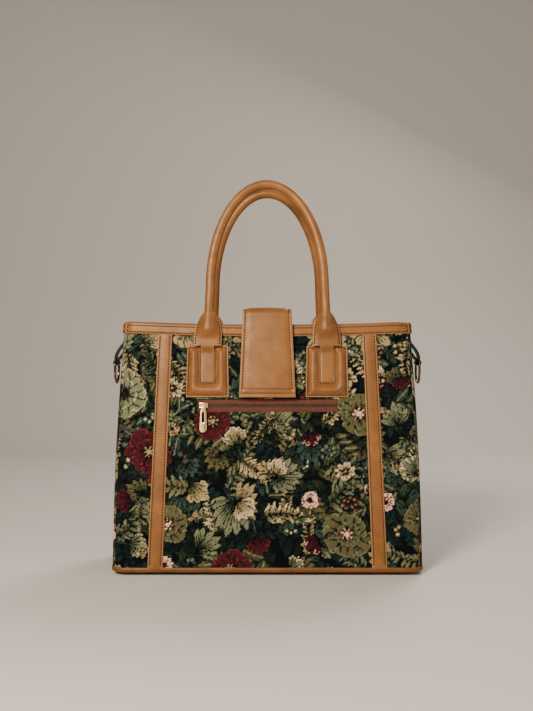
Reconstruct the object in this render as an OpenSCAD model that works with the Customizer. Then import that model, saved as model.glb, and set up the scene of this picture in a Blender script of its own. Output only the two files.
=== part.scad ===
// Structured tapestry carpet bag: leather trim, two rolled handles, a closing tab and a zipped front pocket.
// Millimetres, +Z up. The front faces -Y, and the origin lies on the ground under the middle of the base.

/* [Body] */
// Width of the body at its base
base_w = 370; // [345:1:395]
// Depth of the body at its base
base_d = 140; // [130:1:154]
// Width of the body at its rim
rim_w = 346.5; // [330:0.5:362]
// Depth of the body at its rim
rim_d = 96; // [88:1:106]
// Height of the rim's corners above the ground
rim_h = 299; // [285:1:315]
// Radius of the upright corners
corner_r = 16; // [12:1:20]
// How far the front and the back swell out between their corners
belly = 5; // [2:0.5:7]
// How far the sides swell out between their corners
side_swell = 3; // [1:0.5:5]
// How far the upright corners bow out between the base and the rim
side_bow = 3; // [0:0.5:5]
// How far the rim dips between its corners
rim_dip = 3.5; // [0:0.5:6]
// Thickness of the tapestry walls
wall = 2.2; // [1.8:0.1:2.8]
// Thickness of the lining
lining_t = 0.8; // [0.5:0.1:1.2]
// Room left between two pieces that are sewn together
seam_gap = 0.2; // [0.1:0.05:0.3]

/* [Base] */
// Height of the feet
foot_h = 4; // [3:0.5:6]
// Diameter of the feet
foot_d = 13; // [10:0.5:15]
// Distance from the body's left and right edges in to the feet's middles
foot_inset_x = 55; // [35:1:75]
// Distance from the body's front and back edges in to the feet's middles
foot_inset_y = 22; // [20:1:30]
// Height of the leather binding round the base
binding_h = 6.4; // [5:0.1:8]
// Thickness of the binding
binding_t = 4.4; // [3.6:0.1:5]
// How far the binding stands out past the walls
binding_out = 0.8; // [0.4:0.1:1.4]
// Thickness of the leather under the base
base_leather = 2; // [1.5:0.1:2.5]
// Thickness of the stiffening board in the base
board_t = 3; // [2:0.1:4]

/* [Leather trim] */
// Thickness of the trim leather
leather = 1.6; // [1.2:0.1:2]
// Height of the band that is folded over the rim
rim_band_h = 16; // [12:0.5:20]
// Width of the upright strips at the rim
strip_w_rim = 16; // [12:0.5:19]
// Width of the upright strips at the base
strip_w_base = 17.5; // [14:0.5:20]
// Distance from the body's edge in to the strips' middles at the rim
strip_inset_rim = 51.5; // [46:0.5:54]
// Distance from the body's edge in to the strips' middles at the base
strip_inset_base = 52.5; // [46:0.5:58]

/* [Handles] */
// Diameter of the rolled handles
handle_d = 11.5; // [10:0.5:13]
// Distance between the middles of a handle's legs where they begin to curve
handle_span = 136; // [132:1:140]
// Height of a handle's top above the rim
handle_rise = 175; // [160:1:190]
// Height above the rim where the legs begin to curve
handle_shoulder = 46; // [40:1:55]
// Distance between the middles of the two handles at their tops
handle_top_gap = 63; // [58:1:70]
// Width of the flat spade at a handle's foot
spade_w = 33; // [28:0.5:36]
// Thickness of the spade
spade_t = 4.4; // [3.6:0.1:5]
// Height over which the spade rolls into the handle
spade_h = 38; // [32:1:44]
// Room between the wall and the back of the spade
spade_stand = 3; // [2.6:0.1:4]
// Distance between the middles of the two patches of a handle
patch_span = 142.5; // [140:0.5:146]
// Width of the padded handle patches at their top
patch_w_top = 48.5; // [44:0.5:52]
// Width of the padded handle patches at their foot
patch_w_foot = 51; // [46:0.5:54]
// Height of the handle patches
patch_h = 61; // [56:0.5:66]
// Distance from the rim down to the patches
patch_drop = 27.5; // [25:0.5:30]
// Thickness of a patch in the middle of its padding
patch_puff = 4.4; // [3:0.1:5]
// Thickness of a patch at its sewn edges
patch_edge = 2; // [1.4:0.1:2.6]
// Width of the strap that is sewn inside a patch
strap_w = 15.6; // [13:0.2:18]
// Length of the strap inside a patch
strap_l = 43; // [38:0.5:47]
// Thickness of the strap
strap_t = 2.2; // [1.6:0.1:2.6]

/* [Closing tab] */
// Width of the tab where it folds over the rim
tab_w_fold = 58.5; // [54:0.5:62]
// Width of the tab at its free end
tab_w_end = 67; // [60:0.5:70]
// Thickness of the tab at its sewn edges
tab_t = 3.2; // [2.6:0.1:4]
// How much thicker the padded middle of the tab is
tab_crown = 1.2; // [0.4:0.1:2]
// Height of the fold above the rim
tab_rise = 16.5; // [15:0.5:22]
// Distance from the rim down to the tab's free end
tab_drop = 88.5; // [80:0.5:90]
// Radius of the tab's folds
tab_fold_r = 8; // [6:0.5:10]
// Room between the front wall and the tab
tab_stand = 4.4; // [3.8:0.1:5]
// Length of the tab's root, sewn to the back
tab_root_l = 52; // [40:1:60]
// Diameter of the magnetic snap
snap_d = 18; // [14:0.5:20]
// Distance from the rim down to the snap
snap_drop = 70; // [60:0.5:74]

/* [Zipped pocket] */
// Length of the pocket's window
zip_l = 168; // [150:1:176]
// Height of the pocket's window
zip_h = 15.5; // [13:0.5:16.5]
// Distance from the rim down to the zip's middle
zip_drop = 98.5; // [98:0.5:106]
// Thickness of the zip tape
tape_t = 0.8; // [0.5:0.1:1]
// Width of the tape that is sewn behind the wall
tape_hem = 5; // [3:0.5:7]
// Width of the closed chain
chain_w = 4; // [3:0.1:4.6]
// Thickness of the chain
chain_t = 1.8; // [1.4:0.1:2]
// Distance from one tooth to the next
tooth_pitch = 2.5; // [2:0.1:4]
// Length of the slider
slider_l = 10.5; // [9:0.5:13]
// Height of the slider
slider_h = 8; // [7:0.2:10]
// Thickness of the slider's front plate
slider_t = 1.4; // [1:0.1:1.8]
// Distance from the window's left end to the slider's middle
slider_inset = 8; // [7:0.5:12]
// Length of the pull
pull_l = 37; // [30:0.5:44]
// Width of the pull near its eye
pull_w_top = 6.8; // [5.6:0.1:7.6]
// Width of the pull at its end
pull_w_end = 9.2; // [7.6:0.1:10]
// Thickness of the pull
pull_t = 1.6; // [1.2:0.1:2]
// Width of the slot in the pull
pull_slot_w = 3; // [2:0.1:3.6]
// Length of the slot in the pull
pull_slot_l = 14; // [8:0.5:16]
// Width of the pocket's inner bag
pocket_w = 190; // [182:1:200]
// Height of the pocket's inner bag
pocket_h = 118; // [90:1:140]

/* [Side rings] */
// Clear width inside the D rings
ring_w = 25; // [22:0.5:30]
// Diameter of the D rings' wire
ring_wire = 3.2; // [2.6:0.1:4]
// Length of a ring's straight legs
ring_leg = 11; // [8:0.5:14]
// Distance from the rim down to the rings' bars
ring_drop = 48; // [42:0.5:54]
// Distance from the side wall out to the rings' bars
ring_stand = 10.5; // [9:0.5:14]
// Width of the leather loops that hold the rings
loop_w = 20; // [16:0.5:21]
// Thickness of a loop's folded leather
loop_t = 3.6; // [3:0.1:4.2]
// Running clearance of a ring in its loop
ring_play = 0.1; // [0.05:0.01:0.1]

/* [Hidden] */
$fn = 32;

tapestry_colour = "darkslategray";
leather_colour = "peru";
dark_leather_colour = "saddlebrown";
tape_colour = "sienna";
lining_colour = "tan";
brass_colour = "khaki";
bronze_colour = "darkolivegreen";
board_colour = "dimgray";

// Levels above the ground
binding_top = foot_h + binding_h;
wall_z0 = binding_top + seam_gap;
lining_z0 = foot_h + base_leather + board_t + 2 * seam_gap;
zip_z = rim_h - zip_drop;
patch_top = rim_h - patch_drop;
tab_end = rim_h - tab_drop;
snap_z = rim_h - snap_drop;
ring_z = rim_h - ring_drop;

// Layers of the front, measured inwards from its outer face
tape_front = wall + seam_gap;
pocket_front = tape_front + tape_t + seam_gap;
pocket_t = 1.6;
lining_deep = pocket_front + pocket_t + 3 * seam_gap;
lining_shallow = wall + seam_gap;
band_out = seam_gap + leather;
band_in = lining_shallow + lining_t + seam_gap;

// Steps of the curved surfaces
corner_steps = 4;
front_steps = 12;
side_steps = 6;
wall_rows = 10;

// Shape of the body

function mix(a, b, t) = a + (b - a) * t;
function clamp01(t) = max(0, min(1, t));
function ease(t) = let (c = clamp01(t)) c * c * (3 - 2 * c);
function turned(p) = [-p[0], -p[1], p[2]];

// Share of the way from the base up to the rim
function rise(z) = (z - foot_h) / (rim_h - foot_h);
function half_w(z) = mix(base_w, rim_w, rise(z)) / 2 + side_bow * swell(z);
function half_d(z) = mix(base_d, rim_d, rise(z)) / 2;
function flat_w(z) = half_w(z) - corner_r;
function flat_d(z) = half_d(z) - corner_r;
function swell(z) = sin(180 * clamp01(rise(z)));

// The front wall's outer face, moved out by "out"
function front_y(x, z, out = 0) =
    -(half_d(z) + out + belly * swell(z) * (1 - pow(x / flat_w(z), 4)));
function on_front(p, out) = [p[0], front_y(p[0], p[1], out), p[1]];
// Lean of the front wall at a height, in degrees from upright
function front_lean(z) = atan2(front_y(0, z + 1) - front_y(0, z - 1), 2);

// The right side wall's outer face, moved out by "out"
function side_x(y, z, out = 0) =
    half_w(z) + out + side_swell * swell(z) * (1 - pow(y / flat_d(z), 2));

// A station along the front is [share of the flat front, degrees round the corner]
function front_stations(flats, corners) = concat(
    [for (i = [0:corners - 1]) [-1, 90 - 90 * i / corners]],
    [for (i = [0:flats]) [-1 + 2 * i / flats, 0]],
    [for (i = [1:corners]) [1, 90 * i / corners]]);
function front_point(s, z, out) =
    s[1] == 0 ? on_front([s[0] * flat_w(z), z], out) :
    [s[0] * (flat_w(z) + (corner_r + out) * sin(s[1])), -(flat_d(z) + (corner_r + out) * cos(s[1])), z];
function side_point(f, z, out) = [side_x(f * flat_d(z), z, out), f * flat_d(z), z];

// Height of the rim at a station, and above a place on the front
function rim_z(s) = rim_h - rim_dip * (1 - s[0] * s[0]);
function rim_over(x) = rim_h - rim_dip * (1 - pow(x / flat_w(rim_h), 2));
function wall_z(s, v) = mix(wall_z0, rim_z(s), v);

// How far the lining lies inside the walls: close under the rim band, further in behind the pocket
lining_turn = zip_z + zip_h / 2 + tape_hem + 6;
lining_under_band = rim_h - rim_band_h - 4;
function lining_in(z) =
    let (share = clamp01((z - lining_turn) / (lining_under_band - rim_dip - lining_turn)))
    mix(lining_deep, lining_shallow, share);

// Solids from grids of points

// A closed sheet between an outer grid and an inner grid with as many rows and columns
module sheet(outer, inner) {
    rows = len(outer);
    cols = len(outer[0]);
    back = rows * cols;
    function at(i, j) = i * cols + j;
    points = concat([for (row = outer) for (p = row) p], [for (row = inner) for (p = row) p]);
    faces = concat(
        [for (i = [0:rows - 2]) for (j = [0:cols - 2]) each [
            [at(i, j), at(i + 1, j), at(i + 1, j + 1)],
            [at(i, j), at(i + 1, j + 1), at(i, j + 1)],
            [back + at(i, j), back + at(i + 1, j + 1), back + at(i + 1, j)],
            [back + at(i, j), back + at(i, j + 1), back + at(i + 1, j + 1)]]],
        [for (j = [0:cols - 2]) each [
            [at(0, j), at(0, j + 1), back + at(0, j + 1)],
            [at(0, j), back + at(0, j + 1), back + at(0, j)],
            [at(rows - 1, j + 1), at(rows - 1, j), back + at(rows - 1, j)],
            [at(rows - 1, j + 1), back + at(rows - 1, j), back + at(rows - 1, j + 1)]]],
        [for (i = [0:rows - 2]) each [
            [at(i + 1, 0), at(i, 0), back + at(i, 0)],
            [at(i + 1, 0), back + at(i, 0), back + at(i + 1, 0)],
            [at(i, cols - 1), at(i + 1, cols - 1), back + at(i + 1, cols - 1)],
            [at(i, cols - 1), back + at(i + 1, cols - 1), back + at(i, cols - 1)]]]);
    polyhedron(points, faces);
}

// A solid through closed rings of equally many points, with its two ends closed
module loft(rings) {
    sides = len(rings[0]);
    count = len(rings);
    function at(i, k) = i * sides + k % sides;
    faces = concat(
        [for (i = [0:count - 2]) for (k = [0:sides - 1]) each [
            [at(i, k), at(i + 1, k), at(i + 1, k + 1)],
            [at(i, k), at(i + 1, k + 1), at(i, k + 1)]]],
        [[for (k = [0:sides - 1]) at(0, k)]],
        [[for (k = [0:sides - 1]) at(count - 1, sides - 1 - k)]]);
    polyhedron([for (ring = rings) for (p = ring) p], faces);
}

// An open cup between outer rings and inner rings, each with a floor in its lowest ring
module cup(outer, inner) {
    sides = len(outer[0]);
    count = len(outer);
    skin = sides * count;
    top = count - 1;
    function at(i, k) = i * sides + k % sides;
    faces = concat(
        [for (i = [0:count - 2]) for (k = [0:sides - 1]) each [
            [at(i, k), at(i + 1, k), at(i + 1, k + 1)],
            [at(i, k), at(i + 1, k + 1), at(i, k + 1)],
            [skin + at(i, k), skin + at(i + 1, k + 1), skin + at(i + 1, k)],
            [skin + at(i, k), skin + at(i, k + 1), skin + at(i + 1, k + 1)]]],
        [for (k = [0:sides - 1]) each [
            [at(top, k + 1), at(top, k), skin + at(top, k)],
            [at(top, k + 1), skin + at(top, k), skin + at(top, k + 1)]]],
        [[for (k = [0:sides - 1]) at(0, k)]],
        [[for (k = [0:sides - 1]) skin + at(0, sides - 1 - k)]]);
    polyhedron([for (rings = [outer, inner]) for (ring = rings) for (p = ring) p], faces);
}

// A grid of [x, z] places laid on the front wall, "under" above it, with a grid of thicknesses
module draped(grid, under, thick) {
    sheet(
        [for (i = [0:len(grid) - 1])
            [for (j = [0:len(grid[i]) - 1]) on_front(grid[i][j], under + thick[i][j])]],
        [for (row = grid) [for (p = row) on_front(p, under)]]);
}

// Thickness across a padded piece: thin at both edges, full in the middle
function crown(c, edge, mid) = edge + (mid - edge) * (1 - pow(2 * c - 1, 4));

module on_back() {
    rotate([0, 0, 180]) children();
}

// Tapestry walls and lining

module wall_panel() {
    stations = front_stations(front_steps, corner_steps);
    sheet(
        [for (i = [0:wall_rows]) [for (s = stations) front_point(s, wall_z(s, i / wall_rows), 0)]],
        [for (i = [0:wall_rows]) [for (s = stations) front_point(s, wall_z(s, i / wall_rows), -wall)]]);
}

module front_panel() {
    color(tapestry_colour) difference() {
        wall_panel();
        translate([0, front_y(0, zip_z), zip_z]) cube([zip_l, 4 * wall + belly, zip_h], center = true);
    }
}

module back_panel() {
    color(tapestry_colour) on_back() wall_panel();
}

// The side wall between the two corners, with a seam at each of its edges
module gusset() {
    shares = [for (i = [0:side_steps]) -1 + 2 * i / side_steps];
    function place(f, v, out) =
        let (z = mix(wall_z0, rim_h, v), p = side_point(f, z, out))
        [p[0], p[1] - f * seam_gap, z];
    color(tapestry_colour) sheet(
        [for (i = [0:wall_rows]) [for (f = shares) place(f, i / wall_rows, 0)]],
        [for (i = [0:wall_rows]) [for (f = shares) place(f, i / wall_rows, -wall)]]);
}

// A level of the inner bag, drawn in by "deeper" from the lining's outer face
function lining_ring(v, z0, deeper) =
    let (stations = front_stations(front_steps, corner_steps), shares = [-0.5, 0, 0.5])
    let (
        front = [for (s = stations)
            let (z = mix(z0, rim_z(s), v)) front_point(s, z, -lining_in(z) - deeper)],
        side = [for (f = shares)
            let (z = mix(z0, rim_h, v)) side_point(f, z, -lining_in(z) - deeper)])
    concat(front, side, [for (p = front) turned(p)], [for (p = side) turned(p)]);

module lining() {
    low_levels = 5;
    function share(z) = (z - lining_z0) / (rim_h - lining_z0);
    low = [for (i = [0:low_levels]) share(lining_turn) * i / low_levels];
    levels = concat(low, [share(lining_under_band), 1]);
    outer = [for (v = levels) lining_ring(v, lining_z0, 0)];
    inner = [for (v = levels) lining_ring(v, lining_z0 + lining_t, lining_t)];
    color(lining_colour) cup(outer, inner);
}

// Base

module rounded_plate(w, d, r, t) {
    linear_extrude(t) {
        square([w - 2 * r, d], center = true);
        square([w, d - 2 * r], center = true);
        for (x = [-1, 1]) for (y = [-1, 1])
            translate([x * (w / 2 - r), y * (d / 2 - r)]) circle(r = r);
    }
}

// A plate that fits inside the binding with room all round
module base_plate(t) {
    inset = binding_t - binding_out + seam_gap;
    rounded_plate(base_w - 2 * inset, base_d - 2 * inset, corner_r - inset, t);
}

module base_panel() {
    color(leather_colour) translate([0, 0, foot_h]) base_plate(base_leather);
}

module base_board() {
    color(board_colour) translate([0, 0, foot_h + base_leather + seam_gap]) base_plate(board_t);
}

module binding_profile() {
    r = binding_t / 2;
    translate([-r, r]) square([binding_t, binding_h - binding_t]);
    for (z = [r, binding_h - r]) translate([0, z]) circle(r = r);
}

module base_binding() {
    reach = binding_out - binding_t / 2;
    long = base_w - 2 * corner_r;
    short = base_d - 2 * corner_r;
    color(leather_colour) translate([0, 0, foot_h]) {
        for (turn = [0, 180]) rotate([0, 0, turn]) {
            rotate([90, 0, 0]) linear_extrude(short, center = true)
                translate([base_w / 2 + reach, 0]) binding_profile();
            rotate([90, 0, 90]) linear_extrude(long, center = true)
                translate([base_d / 2 + reach, 0]) binding_profile();
            for (side = [0, 1]) mirror([side, 0, 0]) translate([long / 2, short / 2, 0])
                rotate_extrude(angle = 90) translate([corner_r + reach, 0]) binding_profile();
        }
    }
}

// Four domed metal feet with flat soles
module base_feet() {
    r = foot_d / 2;
    color(brass_colour) for (x = [-1, 1]) for (y = [-1, 1])
        translate([x * (base_w / 2 - foot_inset_x), y * (base_d / 2 - foot_inset_y), 0]) rotate_extrude()
            polygon([[0, 0], [0.5 * r, 0], [0.78 * r, 0.2 * foot_h],
                     [0.95 * r, 0.6 * foot_h], [r, foot_h], [0, foot_h]]);
}

// Rim bands, folded over the edge of the wall and the lining

// Both sides of the band's section, as [distance out from the wall, height above the rim]
band_over = seam_gap + leather;
band_far = -(band_in + leather);
band_soft = leather / 2;
fold_soft = leather / 4;
band_outside = [
    [band_out, -rim_band_h], [band_out, band_over - band_soft], [band_out - band_soft, band_over],
    [band_far + band_soft, band_over], [band_far, band_over - band_soft], [band_far, -rim_band_h]];
band_inside = [
    [seam_gap, -rim_band_h], [seam_gap, seam_gap - fold_soft], [seam_gap - fold_soft, seam_gap],
    [fold_soft - band_in, seam_gap], [-band_in, seam_gap - fold_soft], [-band_in, -rim_band_h]];

module wall_band() {
    stations = front_stations(front_steps, corner_steps);
    function along(section) =
        [for (q = section) [for (s = stations) front_point(s, rim_z(s) + q[1], q[0])]];
    sheet(along(band_outside), along(band_inside));
}

module front_rim_band() {
    color(leather_colour) wall_band();
}

module back_rim_band() {
    color(leather_colour) on_back() wall_band();
}

module side_rim_band() {
    shares = [for (i = [0:side_steps]) -1 + 2 * i / side_steps];
    function along(section) = [for (q = section) [for (f = shares)
        let (p = side_point(f, rim_h + q[1], q[0])) [p[0], p[1] - f * seam_gap, p[2]]]];
    color(leather_colour) sheet(along(band_outside), along(band_inside));
}

// Upright strips: "side" is -1 at the left of the wall and 1 at its right

module strip(side) {
    rows = 10;
    cols = 4;
    grid = [for (i = [0:rows]) [for (j = [0:cols])
        let (v = i / rows, middle = side * mix(base_w / 2 - strip_inset_base, rim_w / 2 - strip_inset_rim, v))
        let (x = middle + (j / cols - 0.5) * mix(strip_w_base, strip_w_rim, v))
        [x, mix(wall_z0, rim_over(x) - rim_band_h - seam_gap, v)]]];
    color(leather_colour)
        draped(grid, seam_gap,
            [for (i = [0:rows]) [for (j = [0:cols]) crown(j / cols, 0.7 * leather, leather)]]);
}

// Handle patches: a padded U with the handle's strap in its slot

slot_w = strap_w + 2 * 2 * seam_gap;
slot_l = strap_l + 2 * seam_gap;

// A row of places from the patch's outer edge to its slot's edge, at a step along the U
function patch_path(corners, arm, foot) = concat(
    [for (k = [0:arm]) mix(corners[0], corners[1], k / arm)],
    [for (k = [1:foot]) mix(corners[1], corners[2], k / foot)],
    [for (k = [1:arm]) mix(corners[2], corners[3], k / arm)]);

module patch(side) {
    arm = 5;
    foot = 5;
    cols = 5;
    middle = [side * patch_span / 2, patch_top - patch_h];
    outer = patch_path([[patch_w_top / 2, patch_h], [patch_w_foot / 2, 0],
                        [-patch_w_foot / 2, 0], [-patch_w_top / 2, patch_h]], arm, foot);
    inner = patch_path([[slot_w / 2, patch_h], [slot_w / 2, patch_h - slot_l],
                        [-slot_w / 2, patch_h - slot_l], [-slot_w / 2, patch_h]], arm, foot);
    last = len(outer) - 1;
    grid = [for (i = [0:last]) [for (j = [0:cols]) middle + mix(outer[i], inner[i], j / cols)]];
    thick = [for (i = [0:last]) [for (j = [0:cols])
        crown(j / cols, patch_edge, i == 0 || i == last ? patch_edge : patch_puff)]];
    color(leather_colour) draped(grid, seam_gap, thick);
}

// The strap rises at its top to meet the spade, and stops short of where the spade folds down
module strap(side) {
    rows = 6;
    cols = 3;
    middle = side * patch_span / 2;
    top_t = spade_stand + 0.3 * spade_t - seam_gap;
    rise_h = 9;
    function level(i) = i < rows - 2 ? mix(patch_top - strap_l, patch_top - rise_h, i / (rows - 2)) :
        mix(patch_top - rise_h, patch_top, (i - rows + 2) / 2);
    grid = [for (i = [0:rows]) [for (j = [0:cols]) [middle + (j / cols - 0.5) * strap_w, level(i)]]];
    function thickness(z) = mix(strap_t, top_t, ease((z - patch_top + rise_h) / rise_h));
    thick = [for (i = [0:rows]) [for (j = [0:cols]) thickness(level(i))]];
    color(leather_colour) draped(grid, seam_gap, thick);
}

// Handles: a rolled tube whose legs flatten into spades that flex just above the patches

handle_r = handle_d / 2;
flex_z = patch_top + seam_gap + spade_t / 2;
shoulder_z = rim_h + handle_shoulder;
crest_z = rim_h + handle_rise - handle_r;

// The legs lean in a little from the patches to where they begin to curve
function leg_x(z) = mix(patch_span, handle_span, clamp01((z - flex_z) / (shoulder_z - flex_z))) / 2;
// The handle's back follows the wall up to the rim, then leans in to its top
function handle_back(z) =
    let (at_rim = front_y(handle_span / 2, rim_h, spade_stand), at_top = -handle_top_gap / 2 + handle_r)
    z < rim_h ? front_y(handle_span / 2, z, spade_stand) :
    mix(at_rim, at_top, (z - rim_h) / (crest_z - rim_h));
function spade_share(z) = ease((z - flex_z) / spade_h);
function handle_half_t(z) = mix(spade_t / 2, handle_r, spade_share(z));
// The spade keeps most of its width and draws in near its top
function handle_half_w(z) = mix(spade_w / 2, handle_r, pow(clamp01((z - flex_z) / spade_h), 3.4));

flex_y = handle_back(flex_z) - spade_t / 2;

// One level of a handle: a middle, its direction across, half its width and half its thickness
function leg_levels() = concat(
    [for (a = [80, 50, 20]) let (z = flex_z - spade_t / 2 * sin(a))
        [[leg_x(z), flex_y, z], [1, 0, 0], spade_w / 2, spade_t / 2 * cos(a)]],
    [for (k = [0:7]) let (z = flex_z + spade_h * k / 7)
        let (half_t = handle_half_t(z))
        [[leg_x(z), handle_back(z) - half_t, z], [1, 0, 0], handle_half_w(z), half_t]],
    [for (k = [1:2]) let (z = mix(flex_z + spade_h, shoulder_z, k / 2))
        [[leg_x(z), handle_back(z) - handle_r, z], [1, 0, 0], handle_r, handle_r]]);
function arch_level(a) =
    let (rx = handle_span / 2, rz = crest_z - shoulder_z, z = shoulder_z + rz * sin(a))
    let (across = [rz * cos(a), 0, rx * sin(a)])
    [[rx * cos(a), handle_back(z) - handle_r, z], across / norm(across), handle_r, handle_r];
function mirrored_level(l) = [[-l[0][0], l[0][1], l[0][2]], [l[1][0], 0, -l[1][2]], l[2], l[3]];
function handle_levels() =
    let (leg = leg_levels(), arch_steps = 18, last = len(leg) - 1)
    concat(
        leg,
        [for (k = [1:arch_steps - 1]) arch_level(180 * k / arch_steps)],
        [for (k = [0:last]) let (l = mirrored_level(leg[last - k])) [l[0], -l[1], l[2], l[3]]]);
// Round where the handle is rolled, squarer where it is flat
function handle_ring(l, sides) =
    let (power = mix(0.45, 1, ease(l[3] / handle_r)))
    [for (k = [0:sides - 1]) let (a = -360 * k / sides, c = cos(a), s = sin(a))
        l[0] + l[1] * l[2] * sign(c) * pow(abs(c), power) + [0, 1, 0] * l[3] * sign(s) * pow(abs(s), power)];

module handle() {
    loft([for (l = handle_levels()) handle_ring(l, 14)]);
}

module front_handle() {
    color(leather_colour) handle();
}

module back_handle() {
    color(leather_colour) on_back() handle();
}

// Closing tab: sewn to the back, folded over the rim, snapped to the front

tab_full = tab_t + tab_crown;
tab_back_stand = band_out + seam_gap;
fold_z = rim_h + tab_rise - tab_fold_r;
tab_hinge_z = rim_over(0) - leather;
tab_hinge_y = -front_y(0, tab_hinge_z, tab_back_stand + tab_t / 2);
tab_front_y = front_y(0, fold_z, tab_stand + tab_t / 2);

// The tab's middle line from its hinge to its free end: a place and the way out of the bag
function fold_place(y, r, a) = [[y + r * cos(a), fold_z + r * sin(a)], [cos(a), sin(a)]];
function tab_line() =
    let (fold_mid = tab_fold_r - tab_t / 2, drop_steps = 7)
    concat(
        [for (k = [0:1]) [[tab_hinge_y, mix(tab_hinge_z, fold_z, k / 2)], [1, 0]]],
        [for (a = [0:30:90]) fold_place(tab_hinge_y - fold_mid, fold_mid, a)],
        [[[mix(tab_hinge_y, tab_front_y, 0.5), fold_z + fold_mid], [0, 1]]],
        [for (a = [90:30:180]) fold_place(tab_front_y + fold_mid, fold_mid, a)],
        [for (k = [1:drop_steps]) let (z = mix(fold_z, tab_end, k / drop_steps))
            [[front_y(0, z, tab_stand + tab_t / 2), z], [-cos(front_lean(z)), sin(front_lean(z))]]]);

module closing_tab() {
    cols = 6;
    line = tab_line();
    last = len(line) - 1;
    // The end at the hinge is rounded about the hinge's own line
    round_end = [for (a = [75, 40])
        [[tab_hinge_y, tab_hinge_z - tab_t / 2 * sin(a)], [1, 0], tab_t / 2 * cos(a), 0]];
    body = [for (k = [0:last]) [line[k][0], line[k][1], tab_t / 2, k == 0 ? 0 : tab_crown]];
    rows = concat(round_end, body);
    n = len(rows) - 1;
    function half_width(k) = mix(tab_w_fold, tab_w_end, clamp01((fold_z - rows[k][0][1]) / (fold_z - tab_end))
        * (rows[k][0][0] < 0 ? 1 : 0)) / 2;
    function place(k, j, side) =
        let (c = j / cols, far = rows[k][2] + (side > 0 ? crown(c, 0, rows[k][3]) : 0))
        let (p = rows[k][0] + side * far * rows[k][1])
        [(2 * c - 1) * half_width(k), p[0], p[1]];
    color(leather_colour) sheet(
        [for (k = [0:n]) [for (j = [0:cols]) place(n - k, j, 1)]],
        [for (k = [0:n]) [for (j = [0:cols]) place(n - k, j, -1)]]);
}

// The root thins out at its top, where the tab bends back over it
module tab_root() {
    rows = 5;
    cols = 4;
    top = tab_hinge_z - tab_t / 2 - seam_gap;
    thin_h = 7;
    function level(i) = i == rows ? top : mix(top - tab_root_l, top - thin_h, i / (rows - 1));
    grid = [for (i = [0:rows]) [for (j = [0:cols]) [(j / cols - 0.5) * tab_w_fold, level(i)]]];
    thick = [for (i = [0:rows]) [for (j = [0:cols]) i == rows ? 0.4 * tab_t : tab_t]];
    color(leather_colour) on_back() draped(grid, tab_back_stand, thick);
}

// The magnetic snap's two discs, square to the leaning wall
snap_disc_t = (tab_stand - 3 * seam_gap) / 2;
snap_air = 0.3;

module snap_disc(from, thick) {
    translate([0, front_y(0, snap_z), snap_z]) rotate([90 - front_lean(snap_z), 0, 0])
        translate([0, 0, from]) cylinder(d = snap_d, h = thick);
}

module snap_socket() {
    color(brass_colour) snap_disc(snap_air, snap_disc_t - snap_air);
}

module snap_stud() {
    color(brass_colour) snap_disc(snap_disc_t + 2 * seam_gap, snap_disc_t - snap_air);
}

// Zipped pocket

zip_y = front_y(0, zip_z);
chain_back = tape_front - seam_gap / 4 - chain_w / 2 * tan(front_lean(zip_z));
chain_front = chain_back - chain_t;
slider_x = -zip_l / 2 + slider_inset;
slider_back = chain_front - 1.2 * seam_gap;
bridge_r = 0.9;
eye_play = 0.1;
eye_r = bridge_r + eye_play + 1;
eye_w = 4.2;
post_w = 1.6;
bridge_out = slider_t - slider_back + eye_r + 0.3;

module zip_tape(up) {
    rows = 2;
    cols = 8;
    length = zip_l + 2 * tape_hem;
    near = seam_gap;
    far = zip_h / 2 + tape_hem;
    low = up > 0 ? near : -far;
    high = up > 0 ? far : -near;
    grid = [for (i = [0:rows]) [for (j = [0:cols])
        [(j / cols - 0.5) * length, zip_z + mix(low, high, i / rows)]]];
    color(tape_colour) draped(grid, -tape_front - tape_t, [for (i = [0:rows]) [for (j = [0:cols]) tape_t]]);
}

// The closed chain: a cord with teeth that reach out to both sides in turn and mesh past its middle
module zip_chain() {
    length = zip_l - 2 * seam_gap;
    teeth = floor(length / tooth_pitch) - 1;
    core_w = 0.4 * chain_w;
    core_t = 0.7 * chain_t;
    tooth_w = 0.42 * tooth_pitch;
    mesh = 0.12 * chain_w;
    color(bronze_colour) translate([0, zip_y, zip_z]) {
        translate([-length / 2, chain_back - core_t, -core_w / 2]) cube([length, core_t, core_w]);
        for (k = [0:teeth - 1]) for (up = [0, 1]) mirror([0, 0, up])
            translate([(k + 0.5 * up - teeth / 2) * tooth_pitch, chain_front, -mesh])
                cube([tooth_w, chain_t, chain_w / 2 + mesh]);
    }
}

// A plate over the chain with a lip along each edge and a bridge for the pull
module zip_slider() {
    lip_inner = chain_w / 2 + 1.5 * seam_gap;
    lip_deep = tape_front - 2 * seam_gap - slider_back;
    color(brass_colour) translate([slider_x, zip_y, zip_z]) {
        translate([-slider_l / 2, slider_back - slider_t, -slider_h / 2])
            cube([slider_l, slider_t, slider_h]);
        for (up = [0, 1]) mirror([0, 0, up])
            translate([-slider_l / 2, slider_back - slider_t / 2, lip_inner])
                cube([slider_l, lip_deep + slider_t / 2, slider_h / 2 - lip_inner]);
        for (x = [-1, 1]) translate([x * (eye_w + post_w + 2 * seam_gap) / 2, 0, 0])
            translate([-post_w / 2, -bridge_out, -bridge_r])
                cube([post_w, bridge_out + slider_back - slider_t / 2, 2 * bridge_r]);
        translate([0, -bridge_out, 0]) rotate([0, 90, 0])
            cylinder(r = bridge_r, h = eye_w + 2 * post_w + 2 * seam_gap, center = true);
    }
}

// The pull hangs from the bridge and leans with the wall below it
pull_lean = atan2(front_y(slider_x, zip_z) - front_y(slider_x, zip_z - pull_l), pull_l) + 1;

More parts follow.
